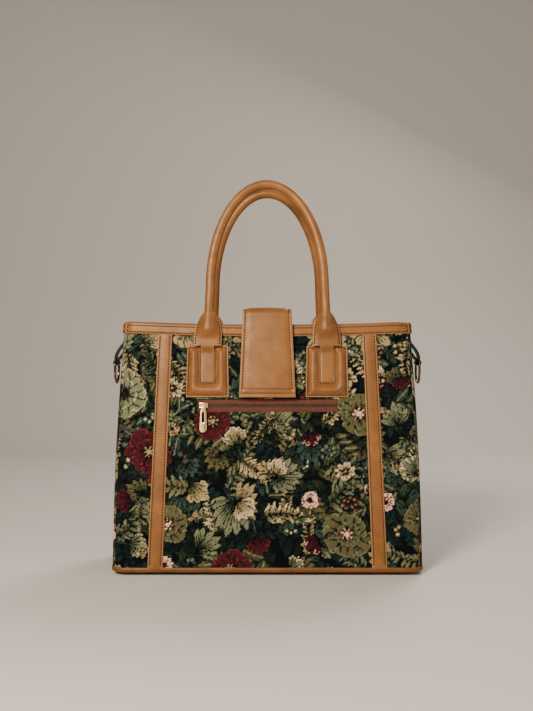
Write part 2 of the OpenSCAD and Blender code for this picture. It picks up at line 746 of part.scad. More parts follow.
module pull_outline() {
    neck = eye_r + 1;
    end_r = pull_w_end / 2;
    slot_top = 0.32 * pull_l;
    difference() {
        union() {
            translate([-eye_w / 2, -neck - 0.5]) square([eye_w, neck + 0.5]);
            polygon([[-pull_w_top / 2, -neck], [pull_w_top / 2, -neck],
                     [end_r, end_r - pull_l], [-end_r, end_r - pull_l]]);
            translate([0, end_r - pull_l]) circle(r = end_r);
        }
        translate([-pull_slot_w / 2, -slot_top - pull_slot_l + pull_slot_w / 2])
            square([pull_slot_w, pull_slot_l - pull_slot_w]);
        for (z = [pull_slot_w / 2, pull_slot_l - pull_slot_w / 2])
            translate([0, -slot_top - z]) circle(r = pull_slot_w / 2);
    }
}

module zip_pull() {
    color(brass_colour)
    translate([slider_x, zip_y - bridge_out, zip_z]) rotate([-pull_lean, 0, 0]) difference() {
        union() {
            rotate([90, 0, 0]) linear_extrude(pull_t, center = true) pull_outline();
            rotate([0, 90, 0]) cylinder(r = eye_r, h = eye_w, center = true);
        }
        rotate([0, 90, 0]) cylinder(r = bridge_r + eye_play, h = 2 * eye_w, center = true);
    }
}

// The pocket's inner bag, pressed flat between the wall and the lining
module pocket_bag() {
    rows = 4;
    cols = 6;
    top = zip_z + zip_h / 2 + tape_hem;
    grid = [for (i = [0:rows]) [for (j = [0:cols])
        [(j / cols - 0.5) * pocket_w, mix(top - pocket_h, top, i / rows)]]];
    color(lining_colour)
        draped(grid, -pocket_front - pocket_t, [for (i = [0:rows]) [for (j = [0:cols]) pocket_t]]);
}

// Side rings and the leather loops that hold them

ring_r = ring_wire / 2;
ring_x = side_x(0, ring_z, ring_stand);
ring_arc = ring_w / 2 + ring_r;
ring_bend = ring_wire;
loop_bore = ring_r + ring_play;
loop_layer = loop_t / 2;

// A folded strap, sewn to the side under the rim band and bent round the ring's bar
module ring_loop() {
    steps = 8;
    top = rim_h - rim_band_h - seam_gap;
    join = ring_z + loop_bore + 0.35 * loop_layer;
    function middle(k) =
        let (t = k / steps, z = mix(top, join, t))
        [mix(side_x(0, z, seam_gap + loop_t / 2), ring_x, ease(t)), z];
    outline = concat(
        [for (k = [0:steps]) middle(k) + [loop_t / 2, 0]],
        [for (k = [0:steps]) middle(steps - k) - [loop_t / 2, 0]]);
    color(dark_leather_colour) rotate([90, 0, 0]) difference() {
        union() {
            linear_extrude(loop_w, center = true) polygon(outline);
            translate([ring_x, ring_z, 0]) cylinder(r = loop_bore + loop_layer, h = loop_w, center = true);
        }
        translate([ring_x, ring_z, 0]) cylinder(r = loop_bore, h = 2 * loop_w, center = true);
    }
}

// A quarter bend of wire in the plane of the ring, from the bar down into a leg
module ring_corner() {
    rotate([0, 90, 0]) rotate([0, 0, 90])
        rotate_extrude(angle = 90) translate([ring_bend, 0]) circle(r = ring_r);
}

module d_ring() {
    bar = 2 * (ring_arc - ring_bend);
    color(bronze_colour) translate([ring_x, 0, ring_z]) {
        rotate([90, 0, 0]) cylinder(r = ring_r, h = bar, center = true);
        for (side = [0, 1]) mirror([0, side, 0]) {
            translate([0, ring_arc - ring_bend, -ring_bend]) ring_corner();
            translate([0, ring_arc, -ring_leg]) cylinder(r = ring_r, h = ring_leg - ring_bend);
        }
        translate([0, 0, -ring_leg]) rotate([0, 90, 0]) rotate([0, 0, -90])
            rotate_extrude(angle = 180) translate([ring_arc, 0]) circle(r = ring_r);
    }
}

front_panel();
back_panel();
on_back() gusset();  // left_gusset
gusset();  // right_gusset
lining();
base_panel();
base_board();
base_binding();
base_feet();
front_rim_band();
back_rim_band();
on_back() side_rim_band();  // left_rim_band
side_rim_band();  // right_rim_band
strip(-1);  // front_left_strip
strip(1);  // front_right_strip
on_back() strip(1);  // back_left_strip
on_back() strip(-1);  // back_right_strip
patch(-1);  // front_left_patch
patch(1);  // front_right_patch
on_back() patch(1);  // back_left_patch
on_back() patch(-1);  // back_right_patch
strap(-1);  // front_left_strap
strap(1);  // front_right_strap
on_back() strap(1);  // back_left_strap
on_back() strap(-1);  // back_right_strap
front_handle();
back_handle();
tab_root();
closing_tab();
snap_socket();
snap_stud();
zip_tape(1);  // zip_tape_upper
zip_tape(-1);  // zip_tape_lower
zip_chain();
zip_slider();
zip_pull();
pocket_bag();
on_back() ring_loop();  // left_ring_loop
ring_loop();  // right_ring_loop
on_back() d_ring();  // left_d_ring
d_ring();  // right_d_ring
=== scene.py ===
import math
import random

import bmesh
import bpy
import numpy as np
from mathutils import Matrix, Vector, noise


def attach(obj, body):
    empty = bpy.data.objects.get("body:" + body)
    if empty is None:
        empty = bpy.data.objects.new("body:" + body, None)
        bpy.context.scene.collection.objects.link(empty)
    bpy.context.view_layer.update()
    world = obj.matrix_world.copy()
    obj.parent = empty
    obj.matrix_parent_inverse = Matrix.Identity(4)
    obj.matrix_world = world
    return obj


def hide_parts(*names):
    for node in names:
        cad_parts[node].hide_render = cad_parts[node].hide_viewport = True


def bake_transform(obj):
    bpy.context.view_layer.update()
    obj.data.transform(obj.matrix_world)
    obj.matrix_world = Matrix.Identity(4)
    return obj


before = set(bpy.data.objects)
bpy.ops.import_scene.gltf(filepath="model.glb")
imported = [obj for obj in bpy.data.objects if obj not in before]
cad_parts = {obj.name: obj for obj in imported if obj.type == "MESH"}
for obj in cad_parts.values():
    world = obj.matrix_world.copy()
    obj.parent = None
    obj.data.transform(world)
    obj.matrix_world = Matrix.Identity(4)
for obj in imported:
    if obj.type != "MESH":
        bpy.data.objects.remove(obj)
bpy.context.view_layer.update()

MM = 0.001
WELD = 0.002 * MM

# Body of the bag, in metres
BASE_W = 0.370
BASE_D = 0.140
RIM_W = 0.3465
RIM_D = 0.096
RIM_H = 0.299
FOOT_H = 0.004
CORNER_R = 0.016
BELLY = 0.005
SIDE_SWELL = 0.003
SIDE_BOW = 0.003
RIM_DIP = 0.0035
WALL_LOW = 0.0100
SEAM_ANGLE = math.radians(45)

# Leather trim
LEATHER = 1.6 * MM
BAND_H = 12.4 * MM
BAND_ROWS = (BAND_H - 1.9 * MM, 2.7 * MM)
STRIP_TOP_X = 121.75 * MM
STRIP_FOOT_X = 132.5 * MM
STRIP_TOP_W = 16 * MM
STRIP_FOOT_W = 17.5 * MM
PATCH_X = 71.25 * MM
PATCH_TOP = 271.5 * MM
PATCH_H = 61 * MM
PATCH_TOP_W = 48.5 * MM
PATCH_FOOT_W = 51 * MM
SLOT_W = 16.4 * MM
SLOT_H = 43.4 * MM
PATCH_PAD = 3.6 * MM
SLOT_INSET = 1.3 * MM
STITCH_PITCH = 3.3 * MM
STITCH_INSET = 2.1 * MM
STITCH_L = 2.45 * MM
STITCH_W = 1.9 * MM
STITCH_H = 0.9 * MM

# Handles
LEG_X = 68 * MM
TUBE_R = 5.75 * MM
FLEX_Z = 273.9 * MM
SPADE_LOW = 271.7 * MM
SPADE_HIGH = 312 * MM
SPADE_HALF_W = 16.5 * MM
SPADE_STAND = 3 * MM
SPADE_T = 3.4 * MM
SPADE_INSET = 1.9 * MM
STRAP_T = 2.2 * MM
STRAP_HALF_W = 7.8 * MM
STRAP_LOW = 228.6 * MM
LIFT_LOW = 262.5 * MM
LIFT_RUN = 9 * MM
RIDGE_LOW = 279 * MM
RIDGE_RUN = 13.5 * MM
# Where the lighter edges of the spade, partly painted highlight, fade out
RAW_AND_HIGHLIGHT_LOW = 298 * MM
RAW_AND_HIGHLIGHT_RUN = 10 * MM
ROLL_LOW = 299 * MM
PEAK_LOW = 300 * MM
PEAK_RUN = 45 * MM
SPADE_ROW_TOP = 304 * MM
SHOULDER_Z = 345 * MM
CREST_Z = 468.25 * MM
CREST_BACK_Y = -25.75 * MM

# Closing tab
TAB_HINGE_Y = 52.252 * MM
TAB_HINGE_Z = 293.9 * MM
TAB_FOLD_Z = 307.5 * MM
TAB_FOLD_R = 6.4 * MM
TAB_FRONT_Y = -53.366 * MM
TAB_END_Z = 210.5 * MM
TAB_ROOT_Z = 243 * MM
TAB_FOLD_W = 58.5 * MM
TAB_END_W = 67 * MM
TAB_T = 3.2 * MM
TAB_CROWN = 1.2 * MM
TAB_STAND = 4.4 * MM
TAB_INSET = 3.6 * MM
TAB_CROSS_ROW = 9.5 * MM
TAB_RISE_LOW = 268 * MM
TAB_RISE_RUN = 18 * MM
TAB_FLARE_RUN = 100 * MM
TAB_CROWN_RUN = 50 * MM

# Zip of the front pocket
ZIP_L = 168 * MM
ZIP_H = 15.5 * MM
ZIP_Z = 200.5 * MM


def clamp01(t):
    return min(1.0, max(0.0, t))


def ease(t):
    t = clamp01(t)
    return t * t * (3 - 2 * t)


def mix(a, b, t):
    return a + (b - a) * t


def bump_at(d, middle, reach):
    return math.exp(-(((d - middle) / reach) ** 2))


def steps(start, stop, count):
    return [mix(start, stop, i / count) for i in range(count + 1)]


def both_ends(length, near, step):
    """Distances from 0 to length: those of near at each end, and even steps between."""
    near = [d for d in near if d < length / 2]
    count = max(1, round((length - 2 * near[-1]) / step))
    inner = steps(near[-1], length - near[-1], count)
    return near[:-1] + inner + [length - d for d in reversed(near[:-1])]


# Shape of the body
def rise(z):
    return (z - FOOT_H) / (RIM_H - FOOT_H)


def half_d(z):
    return mix(BASE_D, RIM_D, rise(z)) / 2


def half_w(z):
    return mix(BASE_W, RIM_W, rise(z)) / 2 + SIDE_BOW * swell(z)


def flat_w(z):
    return half_w(z) - CORNER_R


def flat_d(z):
    return half_d(z) - CORNER_R


def swell(z):
    return math.sin(math.pi * clamp01(rise(z)))


def front_y(x, z, out=0.0):
    return -(half_d(z) + out + BELLY * swell(z) * (1 - (x / flat_w(z)) ** 4))


def side_x(y, z, out=0.0):
    return half_w(z) + out + SIDE_SWELL * swell(z) * (1 - (y / flat_d(z)) ** 2)


def rim_over(x):
    return RIM_H - RIM_DIP * (1 - min(1.0, abs(x) / flat_w(RIM_H)) ** 2)


def rim_level(s, dips):
    """Height of the rim along a wall, with s as front_round has it."""
    return rim_over(max(-1.0, min(1.0, s)) * flat_w(RIM_H)) if dips else RIM_H


def past_corners(middle, end, parts):
    """Stations across a wall: those of middle on the flat, and parts round each corner as far as end."""
    corner = [1 + end * k / parts for k in range(1, parts + 1)]
    return [-s for s in reversed(corner)] + middle + corner


def on_front(x, z, out=0.0):
    return Vector((x, front_y(x, z, out), z))


def front_normal(x, z):
    d = 0.5 * MM
    along = on_front(x + d, z) - on_front(x - d, z)
    up = on_front(x, z + d) - on_front(x, z - d)
    return along.cross(up).normalized()


def front_round(s, z, out=0.0):
    """The front with its corners: s runs from -1 to 1 over the flat, and on round each corner in radians."""
    turn = max(0.0, abs(s) - 1)
    side = math.copysign(1, s)
    if turn == 0:
        return on_front(s * flat_w(z), z, out)
    r = CORNER_R + out
    x = side * (flat_w(z) + r * math.sin(turn))
    return Vector((x, -(flat_d(z) + r * math.cos(turn)), z))


def side_round(s, z, out=0.0):
    """The right side with its corners, as front_round has the front."""
    turn = max(0.0, abs(s) - 1)
    side = math.copysign(1, s)
    if turn == 0:
        y = s * flat_d(z)
        return Vector((side_x(y, z, out), y, z))
    r = CORNER_R + out
    y = side * (flat_d(z) + r * math.sin(turn))
    return Vector((flat_w(z) + r * math.cos(turn), y, z))


# Meshes
def open_edges(bm):
    return [edge for edge in bm.edges if edge.is_boundary]


def faces_of(corners):
    return {face for corner in corners for face in corner.link_faces}


def weld(bm, corners):
    bmesh.ops.remove_doubles(bm, verts=corners, dist=WELD)


def face_out(bm):
    bmesh.ops.recalc_face_normals(bm, faces=bm.faces)
    return bm


def laid(bm, us, vs, place, raw_and_highlight=None, keep=None):
    """Adds a grid with corners at place(u, v), without the faces where keep(u, v) is false."""
    nu = len(us) - 1
    nv = len(vs) - 1
    layer = bm.verts.layers.float.get("raw_and_highlight") or bm.verts.layers.float.new("raw_and_highlight")
    made = bmesh.ops.create_grid(bm, x_segments=nu, y_segments=nv, size=0.5)["verts"]
    spare = []
    for face in faces_of(made):
        middle = face.calc_center_median()
        i = int((middle.x + 0.5) * nu)
        j = int((middle.y + 0.5) * nv)
        if keep and not keep((us[i] + us[i + 1]) / 2, (vs[j] + vs[j + 1]) / 2):
            spare.append(face)
    for corner in made:
        u = us[round((corner.co.x + 0.5) * nu)]
        v = vs[round((corner.co.y + 0.5) * nv)]
        corner.co = place(u, v)
        corner[layer] = raw_and_highlight(u, v) if raw_and_highlight else 0.0
    bmesh.ops.delete(bm, geom=spare, context="FACES")
    return [corner for corner in made if corner.is_valid]


def slab(us, vs, top, under, raw_and_highlight=None, keep=None):
    """A closed piece between two grids."""
    bm = bmesh.new()
    laid(bm, us, vs, top, raw_and_highlight, keep)
    laid(bm, us, vs, under, raw_and_highlight, keep)
    bmesh.ops.bridge_loops(bm, edges=open_edges(bm))
    return face_out(bm)


def tube(us, vs, place, raw_and_highlight=None, loop=False):
    """A grid closed round u, and round v too where loop is true; other ends are filled."""
    bm = bmesh.new()
    laid(bm, us, vs, place, raw_and_highlight)
    weld(bm, bm.verts)
    if not loop:
        bmesh.ops.holes_fill(bm, edges=open_edges(bm))
    return face_out(bm)


def half_turn(bm):
    bmesh.ops.rotate(bm, verts=bm.verts, cent=(0, 0, 0), matrix=Matrix.Rotation(math.pi, 3, "Z"))
    return bm


def finished(name, bm, material, sharp=35):
    mesh = bpy.data.meshes.new(name)
    bm.to_mesh(mesh)
    bm.free()
    mesh.shade_smooth()
    mesh.set_sharp_from_angle(angle=math.radians(sharp))
    mesh.materials.append(material)
    made = bpy.data.objects.new(name, mesh)
    bpy.context.collection.objects.link(made)
    return made


def sew(rows, path, pitch=STITCH_PITCH):
    """Adds a row of stitches along path(t), which gives a place on the leather and the way out of it."""
    bm = bmesh.new()
    count = 160
    spots = [path(i / count) for i in range(count + 1)]
    run = [0.0]
    for a, b in zip(spots, spots[1:]):
        run.append(run[-1] + (b[0] - a[0]).length)
    number = max(1, round(run[-1] / pitch))
    for k in range(number):
        share = np.interp((k + 0.5) / number * run[-1], run, np.linspace(0, 1, count + 1))
        before = path(max(0.0, share - 0.002))[0]
        after = path(min(1.0, share + 0.002))[0]
        middle, out = path(share)
        along = (after - before).normalized()
        across = out.cross(along).normalized()
        axes = Matrix((across * STITCH_W, out * STITCH_H, along * STITCH_L)).transposed().to_4x4()
        axes.translation = middle
        bmesh.ops.create_uvsphere(bm, u_segments=6, v_segments=4, radius=0.5, matrix=axes)
    row = bpy.data.meshes.new("row")
    bm.to_mesh(row)
    bm.free()
    rows.from_mesh(row)
    bpy.data.meshes.remove(row)


# Colours
def tone(red, green, blue):
    """A linear colour from the values of a display, 0 to 255."""
    values = [value / 255 for value in (red, green, blue)]
    return [v / 12.92 if v <= 0.04045 else ((v + 0.055) / 1.055) ** 2.4 for v in values]


# Materials
def add(tree, kind, **values):
    node = tree.nodes.new(kind)
    for key, value in values.items():
        if key in node.inputs:
            node.inputs[key].default_value = value
        else:
            setattr(node, key, value)
    return node


def add_mix(tree, share, a, b, blend="MIX"):
    node = tree.nodes.new("ShaderNodeMix")
    node.data_type = "RGBA"
    node.blend_type = blend
    for socket, value in ((node.inputs[0], share), (node.inputs[6], a), (node.inputs[7], b)):
        if isinstance(value, bpy.types.NodeSocket):
            tree.links.new(value, socket)
        elif isinstance(value, (float, int)):
            socket.default_value = value
        else:
            socket.default_value = (*value, 1)
    return node.outputs[2]


def add_range(tree, value, low, high, to_low, to_high):
    node = tree.nodes.new("ShaderNodeMapRange")
    node.inputs[1].default_value = low
    node.inputs[2].default_value = high
    node.inputs[3].default_value = to_low
    node.inputs[4].default_value = to_high
    tree.links.new(value, node.inputs[0])
    return node.outputs[0]


def add_noise(tree, coords, scale, detail=3.0, rough=0.55):
    node = add(tree, "ShaderNodeTexNoise", Detail=detail, Roughness=rough)
    tree.links.new(coords, node.inputs["Vector"])
    tree.links.new(scale, node.inputs["Scale"])
    return node.outputs[0]


def new_group(name, inputs, outputs):
    """A node group that takes and puts out plain values; inputs give each name its usual value."""
    group = bpy.data.node_groups.new(name, "ShaderNodeTree")
    for socket, value in inputs.items():
        made = group.interface.new_socket(name=socket, in_out="INPUT", socket_type="NodeSocketFloat")
        made.default_value = value
    for socket in outputs:
        group.interface.new_socket(name=socket, in_out="OUTPUT", socket_type="NodeSocketFloat")
    return group, group.nodes.new("NodeGroupInput").outputs, group.nodes.new("NodeGroupOutput").inputs


def make_hide_group():
    """Grain height, broad mottling and fine wear of leather and metal."""
    inputs = {"Pores": 620.0, "Creases": 210.0, "Mottling": 26.0, "Scuffs": 95.0}
    group, given, out = new_group("Hide", inputs, ("Height", "Mottle", "Wear"))
    coords = group.nodes.new("ShaderNodeTexCoord").outputs["Object"]
    pores = group.nodes.new("ShaderNodeTexVoronoi")
    group.links.new(coords, pores.inputs["Vector"])
    group.links.new(given["Pores"], pores.inputs["Scale"])
    total = add(group, "ShaderNodeMath", operation="ADD")
    group.links.new(pores.outputs["Distance"], total.inputs[0])
    group.links.new(add_noise(group, coords, given["Creases"], 4.0, 0.6), total.inputs[1])
    group.links.new(total.outputs[0], out["Height"])
    group.links.new(add_noise(group, coords, given["Mottling"], 3.0, 0.6), out["Mottle"])
    group.links.new(add_noise(group, coords, given["Scuffs"], 5.0, 0.65), out["Wear"])
    return group


def make_thread_group():
    """Height of crossing threads, and the uneven tone of yarn, fine and over a hand's breadth."""
    inputs = {"Threads": 260.0, "Yarns": 800.0, "Slubs": 70.0}
    group, given, out = new_group("Threads", inputs, ("Height", "Yarn", "Slub"))
    coords = group.nodes.new("ShaderNodeTexCoord").outputs["Object"]
    cross = add(group, "ShaderNodeMath", operation="MULTIPLY")
    for socket, direction in zip(cross.inputs, ("X", "Z")):
        band = add(group, "ShaderNodeTexWave", bands_direction=direction, Distortion=1.2)
        group.links.new(coords, band.inputs["Vector"])
        group.links.new(given["Threads"], band.inputs["Scale"])
        group.links.new(band.outputs["Fac"], socket)
    group.links.new(cross.outputs[0], out["Height"])
    group.links.new(add_noise(group, coords, given["Yarns"], 2.0, 0.7), out["Yarn"])
    group.links.new(add_noise(group, coords, given["Slubs"], 3.0, 0.6), out["Slub"])
    return group


HIDE = make_hide_group()
THREADS = make_thread_group()


def new_material(name, **values):
    material = bpy.data.materials.new(name)
    material.use_nodes = True
    tree = material.node_tree
    shader = tree.nodes["Principled BSDF"]
    for key, value in values.items():
        shader.inputs[key.replace("_", " ")].default_value = value
    return material, tree, shader


def use(tree, group, **values):
    node = tree.nodes.new("ShaderNodeGroup")
    node.node_tree = group
    for key, value in values.items():
        node.inputs[key].default_value = value
    return node.outputs


def add_grey(tree, value):
    node = tree.nodes.new("ShaderNodeCombineColor")
    for socket in node.inputs[:3]:
        tree.links.new(value, socket)
    return node.outputs[0]


def add_bump(tree, shader, height, strength, distance):
    bump = add(tree, "ShaderNodeBump", Strength=strength, Distance=distance)
    tree.links.new(height, bump.inputs["Height"])
    tree.links.new(bump.outputs[0], shader.inputs["Normal"])


def leather(name, deep, light, raw_edge_and_highlight, rough, shine, pores=620.0):
    material, tree, shader = new_material(
        name, Specular_IOR_Level=shine, Specular_Tint=(1.0, 0.82, 0.58, 1.0),
        Coat_Weight=0.03, Coat_Roughness=0.35)
    hide = use(tree, HIDE, Pores=pores)
    share = add_range(tree, hide["Mottle"], 0.3, 0.7, 0.0, 1.0)
    worn = add_range(tree, hide["Wear"], 0.35, 0.7, 0.86, 1.12)
    colour = add_mix(tree, 1.0, add_mix(tree, share, deep, light), add_grey(tree, worn), "MULTIPLY")
    # Edges are mixed towards a lighter tone: the cut edge's own tone together with a painted highlight along
    # the rounded edge.
    edge = add(tree, "ShaderNodeAttribute", attribute_name="raw_and_highlight")
    tree.links.new(add_mix(tree, edge.outputs["Fac"], colour, raw_edge_and_highlight), shader.inputs["Base Color"])
    gloss = add_range(tree, hide["Wear"], 0.3, 0.7, rough + 0.08, rough - 0.06)
    tree.links.new(gloss, shader.inputs["Roughness"])
    add_bump(tree, shader, hide["Height"], 0.2, 0.22 * MM)
    return material


def uneven(tree, threads, low, high):
    """Tone of cloth, varied from yarn to yarn and over a hand's breadth."""
    both = add(tree, "ShaderNodeMath", operation="MULTIPLY")
    tree.links.new(add_range(tree, threads["Yarn"], 0.25, 0.75, low, high), both.inputs[0])
    tree.links.new(add_range(tree, threads["Slub"], 0.3, 0.7, 0.9, 1.1), both.inputs[1])
    return add_grey(tree, both.outputs[0])


def figured_cloth(name):
    """Cloth with the colours of its own weave."""
    material, tree, shader = new_material(
        name, Sheen_Weight=0.02, Sheen_Roughness=0.5, Roughness=0.95, Specular_IOR_Level=0.06)
    threads = use(tree, THREADS)
    weave = add(tree, "ShaderNodeAttribute", attribute_name="weave").outputs["Color"]
    colour = add_mix(tree, 1.0, weave, uneven(tree, threads, 0.68, 1.3), "MULTIPLY")
    tree.links.new(colour, shader.inputs["Base Color"])
    add_bump(tree, shader, threads["Height"], 0.55, 0.3 * MM)
    return material


def plain_cloth(name, deep, light, rough, threads_scale, height):
    material, tree, shader = new_material(
        name, Sheen_Weight=0.1, Sheen_Roughness=0.5, Roughness=rough, Specular_IOR_Level=0.2)
    threads = use(tree, THREADS, Threads=threads_scale)
    yarn = add_range(tree, threads["Yarn"], 0.3, 0.7, 0.0, 1.0)
    dyed = add_mix(tree, yarn, deep, light)
    colour = add_mix(tree, 1.0, dyed, uneven(tree, threads, 0.92, 1.06), "MULTIPLY")
    tree.links.new(colour, shader.inputs["Base Color"])
    add_bump(tree, shader, threads["Height"], height, 0.25 * MM)
    return material


def metal(name, bright, dull, rough, metallic=1.0):
    material, tree, shader = new_material(name, Metallic=metallic)
    wear = use(tree, HIDE, Scuffs=160.0)
    share = add_range(tree, wear["Wear"], 0.42, 0.72, 0.0, 1.0)
    tree.links.new(add_mix(tree, share, bright, dull), shader.inputs["Base Color"])
    gloss = add_range(tree, wear["Wear"], 0.3, 0.7, rough - 0.06, rough + 0.08)
    tree.links.new(gloss, shader.inputs["Roughness"])
    return material


def thread(name, deep, light):
    material, tree, shader = new_material(name, Roughness=0.72, Specular_IOR_Level=0.25)
    threads = use(tree, THREADS, Threads=900.0)
    share = add_range(tree, threads["Slub"], 0.35, 0.65, 0.0, 1.0)
    tree.links.new(add_mix(tree, share, deep, light), shader.inputs["Base Color"])
    add_bump(tree, shader, threads["Height"], 0.3, 0.1 * MM)
    return material


TAPESTRY = figured_cloth("Tapestry")
LINING = plain_cloth("Lining", tone(84, 66, 48), tone(112, 92, 70), 0.85, 300.0, 0.3)
TAPE = plain_cloth("Zip tape", tone(75, 40, 30), tone(103, 59, 43), 0.8, 420.0, 0.35)
BOARD = plain_cloth("Board", tone(38, 36, 34), tone(52, 50, 46), 0.9, 200.0, 0.1)
TAN = leather("Tan leather", tone(108, 64, 26), tone(137, 86, 39), tone(190, 140, 90), 0.47, 0.58)
# A darker copy of the tan leather for the binding: painted shade where the binding turns under towards the
# floor.
SHADED_TAN = leather("Shaded tan leather", tone(88, 52, 21), tone(113, 70, 32), tone(150, 106, 64), 0.5, 0.45)
DARK = leather("Dark leather", tone(10, 7, 6), tone(18, 13, 10), tone(26, 18, 14), 0.46, 0.2, 700.0)
GOLD = metal("Gold metal", tone(255, 230, 164), tone(224, 184, 112), 0.26, 0.9)
BRONZE = metal("Bronze metal", tone(146, 126, 96), tone(46, 39, 33), 0.22)
TEETH = metal("Zip teeth", tone(124, 104, 98), tone(82, 66, 62), 0.42)
THREAD = thread("Thread", tone(34, 17, 9), tone(54, 28, 14))

# Cloth, painted motif by motif
GROUND = np.array(tone(6, 10, 11))
OUTLINE = np.array(tone(4, 6, 7))
SHADES = {
    "night": tone(11, 18, 18),
    "pine": tone(20, 30, 23),
    "teal": tone(18, 38, 40),
    "moss": tone(38, 46, 31),
    "fern": tone(50, 67, 57),
    "olive": tone(84, 79, 50),
    "sage": tone(108, 110, 82),
    "khaki": tone(148, 129, 90),
    "sand": tone(184, 163, 122),
    "plum": tone(40, 15, 20),
    "wine": tone(64, 22, 27),
    "rose": tone(96, 40, 42),
    "blush": tone(216, 164, 142),
    "cream": tone(226, 206, 170),
}


class Cloth:
    """A length of floral cloth on a fine grid of cells."""

    def __init__(self, width, height, seed):
        self.cell = 0.8 * MM
        self.width = width
        self.height = height
        self.chance = random.Random(seed)
        columns = np.arange(round(width / self.cell) + 1) * self.cell
        lines = np.arange(round(height / self.cell) + 1) * self.cell
        self.x, self.y = np.meshgrid(columns, lines)
        self.fray = np.random.default_rng(seed).normal(0, 0.34 * MM, self.x.shape)
        self.colour = np.empty((*self.x.shape, 3))
        self.colour[:] = GROUND

    def around(self, x, y, reach):
        left = max(0, int((x - reach) / self.cell))
        low = max(0, int((y - reach) / self.cell))
        across = slice(left, max(left, int((x + reach) / self.cell) + 2))
        up = slice(low, max(low, int((y + reach) / self.cell) + 2))
        return up, across

    def petal(self, foot, turn, length, width, tint, heart, edge=None, widest=0.5, rib=None, curl=0.0,
              lobes=0, streaks=True):
        """A petal or leaf: heart at its foot, tint further out, edge on its border, rib down its middle."""
        part = self.around(*foot, length + width)
        dx = self.x[part] - foot[0]
        dy = self.y[part] - foot[1]
        along = (dx * math.cos(turn) + dy * math.sin(turn)) / length
        inside = np.clip(along, 0, 1)
        across = dy * math.cos(turn) - dx * math.sin(turn) - curl * length * inside**2
        power = math.log(0.5) / math.log(widest)
        half = width / 2 * np.sin(np.pi * inside**power) ** 0.8
        if lobes:
            half = half * (0.86 + 0.2 * np.abs(np.sin(np.pi * lobes * inside)))
        room = half - np.abs(across) + self.fray[part]
        room[(along < 0) | (along > 1)] = -1
        colour = self.colour[part]
        colour[room > -1.1 * MM] = OUTLINE
        inner = room > 0
        share = np.clip((along - 0.1) / 0.55 + 300 * self.fray[part], 0, 1)[..., None]
        fill = np.array(heart) * (1 - share) + np.array(tint) * share
        colour[inner] = fill[inner]
        if streaks:
            lines = np.sin(across / width * math.tau * 3.2 + 9 * curl) > 1.35 * along - 0.15
            colour[inner & lines] = heart
        if edge is not None:
            colour[inner & (room < 0.07 * width + 300 * MM * self.fray[part]) & (along > 0.6)] = edge
        if rib is not None:
            colour[inner & (np.abs(across) < 0.6 * MM) & (along < 0.85)] = rib

    def disc(self, x, y, radius, tint, middle=None):
        part = self.around(x, y, radius + 2 * MM)
        away = np.hypot(self.x[part] - x, self.y[part] - y) + self.fray[part]
        colour = self.colour[part]
        colour[away < radius + 1.0 * MM] = OUTLINE
        colour[away < radius] = tint
        if middle is not None:
            colour[away < radius * 0.5] = middle

    def ring_of_petals(self, x, y, radius, count, tint, heart, edge, start, widest=0.62, fat=1.0, lobes=0):
        squash = self.chance.uniform(0.72, 1.0)
        lean = self.chance.uniform(0, math.tau)
        for k in range(count):
            turn = start + math.tau * (k + self.chance.uniform(-0.2, 0.2)) / count
            size = 1 - (1 - squash) * abs(math.sin(turn - lean))
            length = radius * size * self.chance.uniform(0.82, 1.1)
            width = fat * math.tau * radius / count * 0.82 * self.chance.uniform(0.85, 1.1)
            curl = self.chance.uniform(-0.12, 0.12)
            self.petal((x, y), turn, length, width, tint, heart, edge, widest, None, curl, lobes)

    def aster(self, x, y, radius, tint, heart, eye):
        start = self.chance.uniform(0, math.tau)
        count = self.chance.choice((10, 12, 13))
        self.ring_of_petals(x, y, radius, count, tint, heart, None, start, 0.68, 0.9)
        self.disc(x, y, radius * 0.2, eye, SHADES["khaki"])

    def bloom(self, x, y, radius, tint, heart, edge, eye):
        """An open flower of broad, lobed petals in two rings."""
        start = self.chance.uniform(0, math.tau)
        self.ring_of_petals(x, y, radius, self.chance.choice((6, 7)), tint, heart, edge, start, 0.72, 1.1, 2)
        self.ring_of_petals(x, y, radius * 0.6, 5, tint, heart, edge, start + 0.5, 0.72, 1.05, 2)
        for k in range(7):
            turn = start + math.tau * k / 7
            reach = radius * 0.26
            self.petal((x, y), turn, reach, 1.7 * MM, eye, eye, None, 0.6, streaks=False)
        self.disc(x, y, radius * 0.1, eye)

    def cup(self, x, y, turn, length, tint, heart, edge):
        """A flower seen from its side, on a short stem."""
        stem = length * 0.9
        self.petal((x, y), turn + math.pi, stem, 1.8 * MM, SHADES["fern"], SHADES["moss"], streaks=False)
        for side in (-0.75, 0.75, -0.35, 0.35, 0.0):
            size = length * (1 - 0.2 * abs(side))
            self.petal((x, y), turn + side, size, size * 0.44, tint, heart, edge, 0.64, lobes=2)

    def branch(self, x, y, turn, length, leaf, tint, heart, slim, rib=None):
        """A bent stem with pairs of leaves."""
        pairs = max(3, round(length / (leaf * slim * 1.15)))
        bend = self.chance.uniform(-0.9, 0.9)
        for k in range(pairs * 2):
            share = (k // 2 + 0.5) / pairs
            way = turn + bend * share
            foot = (x + length * share * math.cos(way), y + length * share * math.sin(way))
            side = self.chance.uniform(0.6, 1.0) * (1 if k % 2 else -1)
            size = leaf * (1.1 - 0.5 * share) * self.chance.uniform(0.8, 1.15)
            self.petal(foot, way + side, size, size * slim, tint, heart, None, 0.45, rib, 0.12 * side)
            self.disc(*foot, 0.8 * MM, heart)
        tip = turn + bend
        foot = (x + length * math.cos(tip), y + length * math.sin(tip))
        self.petal(foot, tip, leaf * 0.8, leaf * slim * 0.9, tint, heart, None, 0.45, rib)

